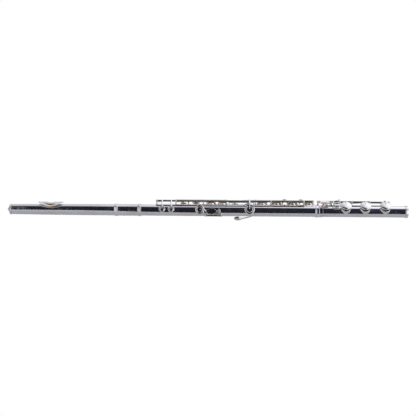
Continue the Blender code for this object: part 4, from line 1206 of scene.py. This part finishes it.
def build_ribs():
    """The ribs of the body and the foot with their posts."""
    stack, trill = joint_line("f"), joint_line("d_trill")
    bm = bmesh.new()
    rib_profile(bm, 186.1 * MM, 469.0 * MM, -5.8 * MM, 1.6 * MM, 0.0, BODY_HOLES)
    post_row(bm, MAIN_POSTS, stack)
    post_row(bm, TRILL_END_POSTS, trill)
    post_row(bm, TRILL_SADDLES, trill, RIB_OUTER, *SADDLE)
    add_piece("body_rib_and_posts", bm, "key_silver", 38.0, "body", "silver", "main_rib")
    bm = bmesh.new()
    line = joint_line("g")
    rib_profile(bm, 315.4 * MM, 363.0 * MM, 1.9 * MM, 6.5 * MM, 0.0, BODY_HOLES)
    post_row(bm, G_POSTS, line)
    add_piece("g_rib_and_posts", bm, "key_silver", 38.0, "body", "silver", "g_rib")
    bm = bmesh.new()
    line = joint_line("thumb_b")
    rib_profile(bm, 272.8 * MM, 304.6 * MM, -2.4 * MM, 2.4 * MM, 125.0)
    post_row(bm, THUMB_POSTS, line)
    add_piece("thumb_rib_and_posts", bm, "key_silver", 38.0, "body", "silver", "thumb_rib")
    foot, foot_b = joint_line("foot_c"), joint_line("foot_b")
    bm = bmesh.new()
    rib_profile(bm, 484.4 * MM, 604.8 * MM, -3.0 * MM, 6.4 * MM, 0.0, FOOT_HOLES)
    post_row(bm, FOOT_POSTS, foot)
    post_row(bm, FOOT_B_POSTS, foot_b)
    post(bm, FOOT_B_SADDLE * MM, foot_b, RIB_OUTER, *SADDLE)
    add_piece("foot_rib_and_posts", bm, "key_silver", 38.0, "foot", "silver", "foot_rib")
    bm = bmesh.new()
    rib_profile(bm, 473.0 * MM, 476.8 * MM, -2.4 * MM, 2.4 * MM, 0.0, (), 11.2 * MM, 12.2 * MM)
    post(bm, SOCKET_POST * MM, foot, 12.2 * MM)
    add_piece("foot_socket_post", bm, "key_silver", 38.0, "foot", "silver", "foot_d_sharp_post")


# Steels: the node, its body and the key whose hinge line it lies on
STEELS = {
    "upper_rod": ("body", "a"), "lower_rod": ("body", "f"), "g_rod": ("body", "g"),
    "thumb_rod": ("body", "thumb_b"), "foot_d_sharp_rod": ("foot", "foot_d_sharp"),
    "foot_b_rod": ("foot", "foot_b"),
}


def build_steels():
    """The hinge steels, with turned ends, and the pivot screws at their outer posts."""
    for node, (body, key) in STEELS.items():
        low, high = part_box(node)
        profile = soften([(0.0, low.x), (STEEL_RADIUS, low.x), (STEEL_RADIUS, high.x), (0.0, high.x)],
                         0.2 * MM)
        bm = bmesh.new()
        lathe(bm, profile, line_frame(joint_line(key)), 28)
        add_piece(f"{node}_steel", bm, "steel", 40.0, body, "steel", node)
    screws = {"body": [("f", MAIN_POSTS[0], -1), ("f", MAIN_POSTS[-1], 1),
                       ("d_trill", TRILL_END_POSTS[0], -1), ("d_trill", TRILL_END_POSTS[1], 1),
                       ("g", G_POSTS[0], -1), ("g", G_POSTS[1], 1),
                       ("thumb_b", THUMB_POSTS[0], -1), ("thumb_b", THUMB_POSTS[1], 1)],
              "foot": [("foot_c", SOCKET_POST, -1), ("foot_c", FOOT_POSTS[-1], 1),
                       ("foot_b", FOOT_B_POSTS[0], -1), ("foot_b", FOOT_B_POSTS[1], 1)]}
    for body, heads in screws.items():
        bm = bmesh.new()
        for key, station, outward in heads:
            pivot_screw(bm, station * MM, joint_line(key), outward)
        add_piece(f"{body}_pivot_screws", bm, "screw_steel", 30.0, body, "steel")


# Needle springs: the body, the key whose line each runs beside, the places of its post and its
# free end in millimetres, and the side that it leans to
SPRINGS = [
    ("body", "c_sharp", 222.4, 236.0, -1), ("body", "c_sharp", 271.2, 259.0, -1),
    ("body", "b_flat", 271.2, 284.0, 1), ("body", "a", 312.5, 299.5, 1),
    ("body", "f_sharp", 367.4, 379.0, 1), ("body", "f", 391.2, 404.0, 1),
    ("body", "e", 466.6, 440.0, 1), ("body", "d", 466.6, 452.0, 1),
    ("body", "d_trill", 188.5, 200.0, -1), ("body", "d_trill", 449.6, 436.0, -1),
    ("body", "g", 317.3, 331.0, 1), ("body", "thumb_b", 302.8, 288.0, 1),
    ("foot", "foot_c", 474.9, 488.0, -1), ("foot", "foot_c", 535.2, 521.0, 1),
    ("foot", "foot_c", 535.2, 549.0, 1), ("foot", "foot_b", 602.4, 586.0, 1),
]


def build_springs():
    """The needle springs, each set in a post and running beside its hinge tube."""
    for body in ("body", "foot"):
        bm = bmesh.new()
        for owner, key, start, end, side in SPRINGS:
            if owner != body:
                continue
            y, z = joint_line(key)
            inward = Vector((0.0, y, z)).normalized()
            across = Vector((0.0, -inward.z, inward.y)) * side
            base = Vector((0.0, y, z)) - inward * 2.7 * MM + across * 0.5 * MM
            tip = Vector((0.0, y, z)) - inward * 2.2 * MM + across * 1.6 * MM
            points = [base + Vector((start * MM, 0.0, 0.0)),
                      (base * 0.6 + tip * 0.4) + Vector(((start * 0.5 + end * 0.5) * MM, 0.0, 0.0)),
                      tip + Vector((end * MM, 0.0, 0.0))]
            sweep(bm, points, (0.34 * MM, 0.2 * MM), (0.34 * MM, 0.2 * MM), 10, 2.0)
        add_piece(f"{body}_needle_springs", bm, "spring_gold", 40.0, body, "steel")


# Corks under the touches: place along the flute, angle round the tube in degrees, height, half
# length, half width and thickness, in millimetres
CORKS = {
    "foot_d_sharp": (486.6, 24.3, 16.2, 7.5, 2.4, 2.2),
    "foot_c_sharp": (507.8, 19.3, 15.6, 2.8, 1.5, 1.6),
    "c_sharp": (C_SHARP_TOUCH, FAR_ANGLE, 14.5, 3.6, 2.4, 1.2),
    "thumb_b": (285.1, 90.0, 13.4, 5.5, 2.6, 1.2),
}


def build_corks():
    """The cork bumpers glued under the touches."""
    for key, (station, angle, height, length, width, thickness) in CORKS.items():
        turn = rest_turn(key)
        bm = bmesh.new()
        shape = turn @ hole_frame(station * MM, angle)
        place = shape @ Matrix.Translation((0.0, 0.0, height * MM))
        oval_disc(bm, place, length * MM, width * MM, thickness * MM)
        add_piece(f"{key}_key_cork", bm, "key_cork", 40.0, key, "cork")


def build_stopper():
    """The stopper: a screw, ringed for its thread, with its face plate, a cork and a washer."""
    low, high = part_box("stopper_screw")
    bm = bmesh.new()
    face = high.x
    shaft_end = face - 1.4 * MM
    thread = []
    count = 72
    for step in range(count):
        station = shaft_end - (shaft_end - low.x - 0.4 * MM) * step / count
        thread.append((1.5 * MM if step % 2 else 1.28 * MM, station))
    profile = [(0.0, face), (8.2 * MM, face), (8.45 * MM, face - 0.25 * MM),
               (8.45 * MM, shaft_end + 0.2 * MM), (8.2 * MM, shaft_end)] + thread
    profile += [(1.0 * MM, low.x), (0.0, low.x)]
    lathe(bm, profile, line_frame(), 64)
    add_piece("stopper_screw_turned", bm, "steel", 30.0, "stopper", "steel", "stopper_screw")
    for node, finish, slot in (("stopper_cork", "key_cork", "cork"),
                               ("stopper_washer", "steel", "silver")):
        low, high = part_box(node)
        radius = (high.y - low.y) / 2
        profile = soften([(1.7 * MM, low.x), (1.7 * MM, high.x), (radius, high.x), (radius, low.x)],
                         0.3 * MM, closed=True)
        bm = bmesh.new()
        lathe(bm, profile, line_frame(), 64, closed=True)
        add_piece(f"{node}_turned", bm, finish, 40.0, "stopper", slot, node)


# ---------------------------------------------------------------- stage

# The studio's light by angle: 0 faces the player, 90 is overhead and 180 is behind
NIGHT = (0.010, 0.012, 0.018)
BANDS = [
    (-180.0, 0.9), (-140.0, 0.42), (-100.0, 0.4), (-52.0, 0.3), (-46.0, NIGHT),
    (59.0, (0.02, 0.022, 0.03)), (68.0, (0.06, 0.06, 0.075)), (76.0, (0.7, 0.7, 0.78)),
    (110.0, (0.90, 0.90, 0.97)), (132.0, 0.9), (148.0, 0.5), (166.0, 0.42), (170.0, 0.08),
    (175.0, 0.08), (180.0, 0.9),
]

# How far the bands drift along the flute, and how far off centre the dark middle lies
BAND_DRIFT = 0.09
MIDDLE_X = 0.03

# The board's and the floor's near edge from the left to the right, as (x, y)
NEAR_EDGE = [(-0.6, -0.62), (-0.04, -0.60), (0.06, -0.34), (0.14, -0.17), (0.24, -0.108),
             (1.1, -0.108)]
FAR_EDGE = [(1.1, 0.5), (-0.6, 0.5)]
BOARD_DEPTH = 0.012

# The camera's target and distance in metres, and its elevation and roll in degrees
CAMERA_TARGET = (279.4 * MM, 0.0, 4.5 * MM)
CAMERA_DISTANCE = 1.75
CAMERA_ELEVATION = 1.3
CAMERA_ROLL = 0.43


def camera_switch(tree, otherwise, seen):
    """One shader for what the camera sees directly, and another for all other light."""
    path = add_node(tree, "ShaderNodeLightPath")
    mix = add_node(tree, "ShaderNodeMixShader")
    tree.links.new(path.outputs["Is Camera Ray"], mix.inputs["Fac"])
    tree.links.new(otherwise, mix.inputs[1])
    tree.links.new(seen, mix.inputs[2])
    return mix.outputs[0]


def band_world(stage):
    """A studio round the flute: white overhead, grey behind and below, dark towards the player."""
    world = bpy.data.worlds.new("Studio")
    bpy.context.scene.world = world
    world.use_nodes = True
    tree = world.node_tree
    tree.nodes.clear()
    coordinates = add_node(tree, "ShaderNodeTexCoord")
    split = add_node(tree, "ShaderNodeSeparateXYZ")
    tree.links.new(coordinates.outputs["Generated"], split.inputs["Vector"])
    x, y, z = (split.outputs[axis] for axis in "XYZ")
    turn = maths(tree, "ARCTAN2", z, maths(tree, "MULTIPLY", y, -1.0))
    share = maths(tree, "MULTIPLY_ADD", turn, 1.0 / math.tau, 0.5)
    drift = maths(tree, "MULTIPLY_ADD", x, BAND_DRIFT, share)
    bands = ramp(tree, drift, [((angle + 180.0) / 360.0, tone) for angle, tone in BANDS])
    aside = maths(tree, "ABSOLUTE", maths(tree, "SUBTRACT", x, MIDDLE_X))
    sides = ramp(tree, aside, [(0.27, 0.0), (0.33, 0.95), (0.78, 0.95), (0.9, 0.25)])
    lower = ramp(tree, drift, [(0.0, 1.0), (0.645, 1.0), (0.665, 0.0), (1.0, 0.0)])
    low_sides = mix_colours(tree, 1.0, sides, lower, "MULTIPLY")
    along = add_node(tree, "ShaderNodeMapRange", {"From Min": -0.2, "From Max": 0.2,
                                                  "To Min": 0.68, "To Max": 1.25})
    tree.links.new(x, along.inputs["Value"])
    strength = maths(tree, "MULTIPLY", along.outputs["Result"], stage.light_strength)
    studio = add_node(tree, "ShaderNodeBackground")
    tree.links.new(mix_colours(tree, 1.0, bands, low_sides, "LIGHTEN"), studio.inputs["Color"])
    tree.links.new(strength, studio.inputs["Strength"])
    backdrop = add_node(tree, "ShaderNodeBackground", {"Color": (1.0, 1.0, 1.0, 1.0)})
    output = add_node(tree, "ShaderNodeOutputWorld")
    tree.links.new(camera_switch(tree, studio.outputs[0], backdrop.outputs[0]),
                   output.inputs["Surface"])


def paper_material(name, low, high):
    """Plain studio paper or board: grained for what it lights, clean white to the camera."""
    item, tree, shader = start_material(name)
    shader.inputs["Roughness"].default_value = 0.9
    grain = stretched_noise(tree, (1.0, 1.0, 1.0), 160.0, 5.0)
    tree.links.new(mix_colours(tree, grain, low, high), shader.inputs["Base Color"])
    white = add_node(tree, "ShaderNodeEmission")
    tree.links.new(camera_switch(tree, shader.outputs[0], white.outputs[0]),
                   tree.nodes["Material Output"].inputs["Surface"])
    return item


def build_floor(stage):
    """The pale floor behind the flute and the warm board in front of it."""
    paper = paper_material("studio_paper", (0.40, 0.40, 0.41), (0.44, 0.44, 0.45))
    board = paper_material("studio_board", (0.42, 0.22, 0.12), (0.56, 0.30, 0.16))
    for name, depth, back, finish in (("studio_floor", 0.0, FAR_EDGE, paper),
                                      ("studio_board", BOARD_DEPTH, NEAR_EDGE[::-1], board)):
        bm = bmesh.new()
        corners = [(x, y - depth) for x, y in NEAR_EDGE] + back
        bm.faces.new([bm.verts.new((x, y, -stage.floor_depth)) for x, y in corners])
        finish_mesh(name, bm, finish)


def build_fill(stage):
    """A wide soft light in front, left out of the reflections."""
    light = bpy.data.lights.new("Fill", "AREA")
    light.shape = "RECTANGLE"
    light.size = 1.2
    light.size_y = 0.6
    light.energy = stage.fill_power
    fill = bpy.data.objects.new("Fill", light)
    bpy.context.scene.collection.objects.link(fill)
    tilt = Matrix.Rotation(math.radians(68.0), 4, "X")
    fill.matrix_world = Matrix.Translation((0.28, -1.3, 0.5)) @ tilt
    fill.visible_glossy = False


def build_camera():
    """The camera on the player's side, a little over the flute."""
    lens = bpy.data.cameras.new("Camera")
    lens.lens = 85.0
    lens.sensor_width = 36.0
    camera = bpy.data.objects.new("Camera", lens)
    bpy.context.scene.collection.objects.link(camera)
    target = Vector(CAMERA_TARGET)
    elevation = math.radians(CAMERA_ELEVATION)
    away = Vector((0.0, -math.cos(elevation), math.sin(elevation)))
    camera.location = target + away * CAMERA_DISTANCE
    roll = Matrix.Rotation(math.radians(CAMERA_ROLL), 4, "Z")
    aim = (target - camera.location).to_track_quat("-Z", "Y").to_matrix().to_4x4()
    camera.matrix_world = Matrix.Translation(camera.location) @ aim @ roll
    bpy.context.scene.camera = camera


def build_stage(stage):
    """The floor, the fill light, the soft studio round them and the camera."""
    build_floor(stage)
    build_fill(stage)
    band_world(stage)
    build_camera()
    bpy.context.scene.view_settings.view_transform = "Standard"


# ---------------------------------------------------------------- sizes, operators and panel

class FluteSizes(bpy.types.PropertyGroup):
    """Sizes of the flute's tubes and its embouchure."""

    tube_wall: FloatProperty(name="Tube wall", description="Thickness of the silver tubes",
                             default=0.4 * MM, min=0.1 * MM, unit="LENGTH")
    mouth_length: FloatProperty(name="Mouth hole length", description="Along the flute",
                                default=12.2 * MM, min=MM, unit="LENGTH")
    mouth_width: FloatProperty(name="Mouth hole width", description="Across the flute",
                               default=10.4 * MM, min=MM, unit="LENGTH")
    lip_length: FloatProperty(name="Lip plate length", description="Along the flute",
                              default=45.0 * MM, min=MM, unit="LENGTH")
    lip_width: FloatProperty(name="Lip plate width", description="Across the flute, in plan",
                             default=22.4 * MM, min=MM, unit="LENGTH")
    lip_thickness: FloatProperty(name="Lip plate thickness", description="Thickness of the plate",
                                 default=1.0 * MM, min=0.2 * MM, unit="LENGTH")


class FluteFinishes(bpy.types.PropertyGroup):
    """Clean colours of the flute's metals, pads and corks, the hinge tubes' silver darkened as painted
    shade, and the painted warm reflection on the lip plate's near edge.
    """

    head_silver: FloatVectorProperty(
        name="Head joint silver", description="Silver of the head joint's tube",
        subtype="COLOR", min=0.0, max=1.0, default=(0.88, 0.88, 0.93))
    tube_silver: FloatVectorProperty(
        name="Body silver", description="Silver of the body and foot tubes",
        subtype="COLOR", min=0.0, max=1.0, default=(0.89, 0.89, 0.93))
    # Darker than the keys' silver: painted shade for the dark that the hinge tubes reflect from the
    # tube beneath
    shaded_hinge_silver: FloatVectorProperty(
        name="Hinge tube silver with painted shade", description="Silver of the keys' hinge tubes, darkened as painted shade",
        subtype="COLOR", min=0.0, max=1.0, default=(0.50, 0.49, 0.50))
    key_silver: FloatVectorProperty(
        name="Key silver", description="Silver of the cups, arms and touches",
        subtype="COLOR", min=0.0, max=1.0, default=(0.92, 0.91, 0.91))
    ring_silver: FloatVectorProperty(
        name="Ring silver", description="Silver of the rings, ribs and posts",
        subtype="COLOR", min=0.0, max=1.0, default=(0.91, 0.91, 0.94))
    lip_silver: FloatVectorProperty(
        name="Lip plate silver", description="Silver of the lip plate and riser",
        subtype="COLOR", min=0.0, max=1.0, default=(0.88, 0.87, 0.90))
    steel: FloatVectorProperty(
        name="Steel", description="Hinge steels and washers",
        subtype="COLOR", min=0.0, max=1.0, default=(0.58, 0.58, 0.60))
    spring_gold: FloatVectorProperty(
        name="Spring gold", description="Needle springs",
        subtype="COLOR", min=0.0, max=1.0, default=(0.83, 0.56, 0.27))
    screw_steel: FloatVectorProperty(
        name="Screw steel", description="Heads of the pivot screws",
        subtype="COLOR", min=0.0, max=1.0, default=(0.30, 0.31, 0.36))
    pad_skin: FloatVectorProperty(
        name="Pad skin", description="Skin over the pads",
        subtype="COLOR", min=0.0, max=1.0, default=(0.98, 0.80, 0.13))
    pad_felt: FloatVectorProperty(
        name="Pad felt", description="Felt and card round the pads",
        subtype="COLOR", min=0.0, max=1.0, default=(0.86, 0.80, 0.64))
    key_cork: FloatVectorProperty(
        name="Cork", description="Corks on the keys and the stopper",
        subtype="COLOR", min=0.0, max=1.0, default=(0.86, 0.46, 0.20))
    # A painted warm reflection, tinted into the silver of the lip plate's near edge
    lip_painted_reflection: FloatVectorProperty(
        name="Lip plate painted reflection", description="Painted warm reflection on the lip plate's near edge",
        subtype="COLOR", min=0.0, max=1.0, default=(0.93, 0.78, 0.52))


class FluteStage(bpy.types.PropertyGroup):
    """The studio round the flute."""

    floor_depth: FloatProperty(name="Floor depth", description="Floor below the tube's axis",
                               default=0.11, min=0.02, unit="LENGTH")
    light_strength: FloatProperty(name="Light", description="Strength of the studio's light",
                                  default=1.0, min=0.0)
    fill_power: FloatProperty(name="Fill", description="Power of the soft fill light in watts",
                              default=20.0, min=0.0)


class FLUTE_OT_head_tube(bpy.types.Operator):
    """Build the tapered head tube with its mouth hole"""

    bl_idname = "flute.head_tube"
    bl_label = "Head joint tube"

    def execute(self, context):
        build_head_tube(context.scene.flute_sizes)
        return {"FINISHED"}


class FLUTE_OT_lip_plate(bpy.types.Operator):
    """Build the lip plate and the riser under it"""

    bl_idname = "flute.lip_plate"
    bl_label = "Lip plate and riser"

    def execute(self, context):
        build_lip_plate(context.scene.flute_sizes)
        return {"FINISHED"}


class FLUTE_OT_crown(bpy.types.Operator):
    """Build the turned crown"""

    bl_idname = "flute.crown"
    bl_label = "Crown"

    def execute(self, context):
        build_crown()
        return {"FINISHED"}


class FLUTE_OT_stopper(bpy.types.Operator):
    """Build the stopper screw, its cork and its washer"""

    bl_idname = "flute.stopper"
    bl_label = "Stopper"

    def execute(self, context):
        build_stopper()
        return {"FINISHED"}


class FLUTE_OT_barrel(bpy.types.Operator):
    """Build the barrel with its rings"""

    bl_idname = "flute.barrel"
    bl_label = "Barrel"

    def execute(self, context):
        build_barrel()
        return {"FINISHED"}


class FLUTE_OT_body_tube(bpy.types.Operator):
    """Build the body tube and its drawn tone holes"""

    bl_idname = "flute.body_tube"
    bl_label = "Body joint tube"

    def execute(self, context):
        build_body_tube(context.scene.flute_sizes)
        return {"FINISHED"}


class FLUTE_OT_foot_tube(bpy.types.Operator):
    """Build the foot tube and its drawn tone holes"""

    bl_idname = "flute.foot_tube"
    bl_label = "Foot joint tube"

    def execute(self, context):
        build_foot_tube(context.scene.flute_sizes)
        return {"FINISHED"}


class FLUTE_OT_ribs(bpy.types.Operator):
    """Build the ribs and the posts that stand on them"""

    bl_idname = "flute.ribs"
    bl_label = "Ribs and posts"

    def execute(self, context):
        build_ribs()
        return {"FINISHED"}


class FLUTE_OT_steels(bpy.types.Operator):
    """Build the hinge steels and the pivot screws"""

    bl_idname = "flute.steels"
    bl_label = "Steels and pivot screws"

    def execute(self, context):
        build_steels()
        return {"FINISHED"}


class FLUTE_OT_stack(bpy.types.Operator):
    """Build the keys of both hands with their cups and pads"""

    bl_idname = "flute.stack"
    bl_label = "Stack keys"

    def execute(self, context):
        build_stack()
        return {"FINISHED"}


class FLUTE_OT_g_sharp(bpy.types.Operator):
    """Build the G sharp key"""

    bl_idname = "flute.g_sharp"
    bl_label = "G sharp key"

    def execute(self, context):
        build_g_sharp()
        return {"FINISHED"}


class FLUTE_OT_trills(bpy.types.Operator):
    """Build the two trill keys"""

    bl_idname = "flute.trills"
    bl_label = "Trill keys"

    def execute(self, context):
        build_trills()
        return {"FINISHED"}


class FLUTE_OT_thumb_keys(bpy.types.Operator):
    """Build the thumb keys"""

    bl_idname = "flute.thumb_keys"
    bl_label = "Thumb keys"

    def execute(self, context):
        build_thumb_keys()
        return {"FINISHED"}


class FLUTE_OT_foot_keys(bpy.types.Operator):
    """Build the four keys of the foot joint"""

    bl_idname = "flute.foot_keys"
    bl_label = "Foot keys"

    def execute(self, context):
        build_foot_keys()
        return {"FINISHED"}


class FLUTE_OT_rollers(bpy.types.Operator):
    """Build the two rollers of the foot"""

    bl_idname = "flute.rollers"
    bl_label = "Rollers"

    def execute(self, context):
        build_rollers()
        return {"FINISHED"}


class FLUTE_OT_springs(bpy.types.Operator):
    """Build the needle springs"""

    bl_idname = "flute.springs"
    bl_label = "Needle springs"

    def execute(self, context):
        build_springs()
        return {"FINISHED"}


class FLUTE_OT_corks(bpy.types.Operator):
    """Build the corks under the touches"""

    bl_idname = "flute.corks"
    bl_label = "Key corks"

    def execute(self, context):
        build_corks()
        return {"FINISHED"}


class FLUTE_OT_stage(bpy.types.Operator):
    """Build the floor, the studio and the camera"""

    bl_idname = "flute.stage"
    bl_label = "Stage"

    def execute(self, context):
        build_stage(context.scene.flute_stage)
        return {"FINISHED"}


OPERATORS = (
    FLUTE_OT_head_tube, FLUTE_OT_lip_plate, FLUTE_OT_crown, FLUTE_OT_stopper,
    FLUTE_OT_barrel, FLUTE_OT_body_tube, FLUTE_OT_foot_tube, FLUTE_OT_ribs,
    FLUTE_OT_steels, FLUTE_OT_stack, FLUTE_OT_g_sharp, FLUTE_OT_trills,
    FLUTE_OT_thumb_keys, FLUTE_OT_foot_keys, FLUTE_OT_rollers, FLUTE_OT_springs,
    FLUTE_OT_corks, FLUTE_OT_stage,
)


class FLUTE_PT_panel(bpy.types.Panel):
    """Lists the flute's sizes and colours, and the pieces that can be built."""

    bl_label = "Concert flute"
    bl_idname = "FLUTE_PT_panel"
    bl_space_type = "VIEW_3D"
    bl_region_type = "UI"
    bl_category = "Flute"

    def draw(self, context):
        layout = self.layout
        for group in (context.scene.flute_sizes, context.scene.flute_finishes,
                      context.scene.flute_stage):
            for name in group.bl_rna.properties.keys():
                if name not in ("rna_type", "name"):
                    layout.prop(group, name)
        for operator in OPERATORS:
            layout.operator(operator.bl_idname)


CLASSES = (FluteSizes, FluteFinishes, FluteStage) + OPERATORS + (FLUTE_PT_panel,)


def register():
    """Register the property groups, the operators and the panel."""
    for item in CLASSES:
        bpy.utils.register_class(item)
    bpy.types.Scene.flute_sizes = PointerProperty(type=FluteSizes)
    bpy.types.Scene.flute_finishes = PointerProperty(type=FluteFinishes)
    bpy.types.Scene.flute_stage = PointerProperty(type=FluteStage)


def unregister():
    """Take back what register added."""
    del bpy.types.Scene.flute_stage
    del bpy.types.Scene.flute_finishes
    del bpy.types.Scene.flute_sizes
    for item in reversed(CLASSES):
        bpy.utils.unregister_class(item)


def main():
    """Build every piece in order."""
    register()
    for operator in OPERATORS:
        getattr(bpy.ops.flute, operator.bl_idname.split(".")[1])()


if __name__ == "__main__":
    main()
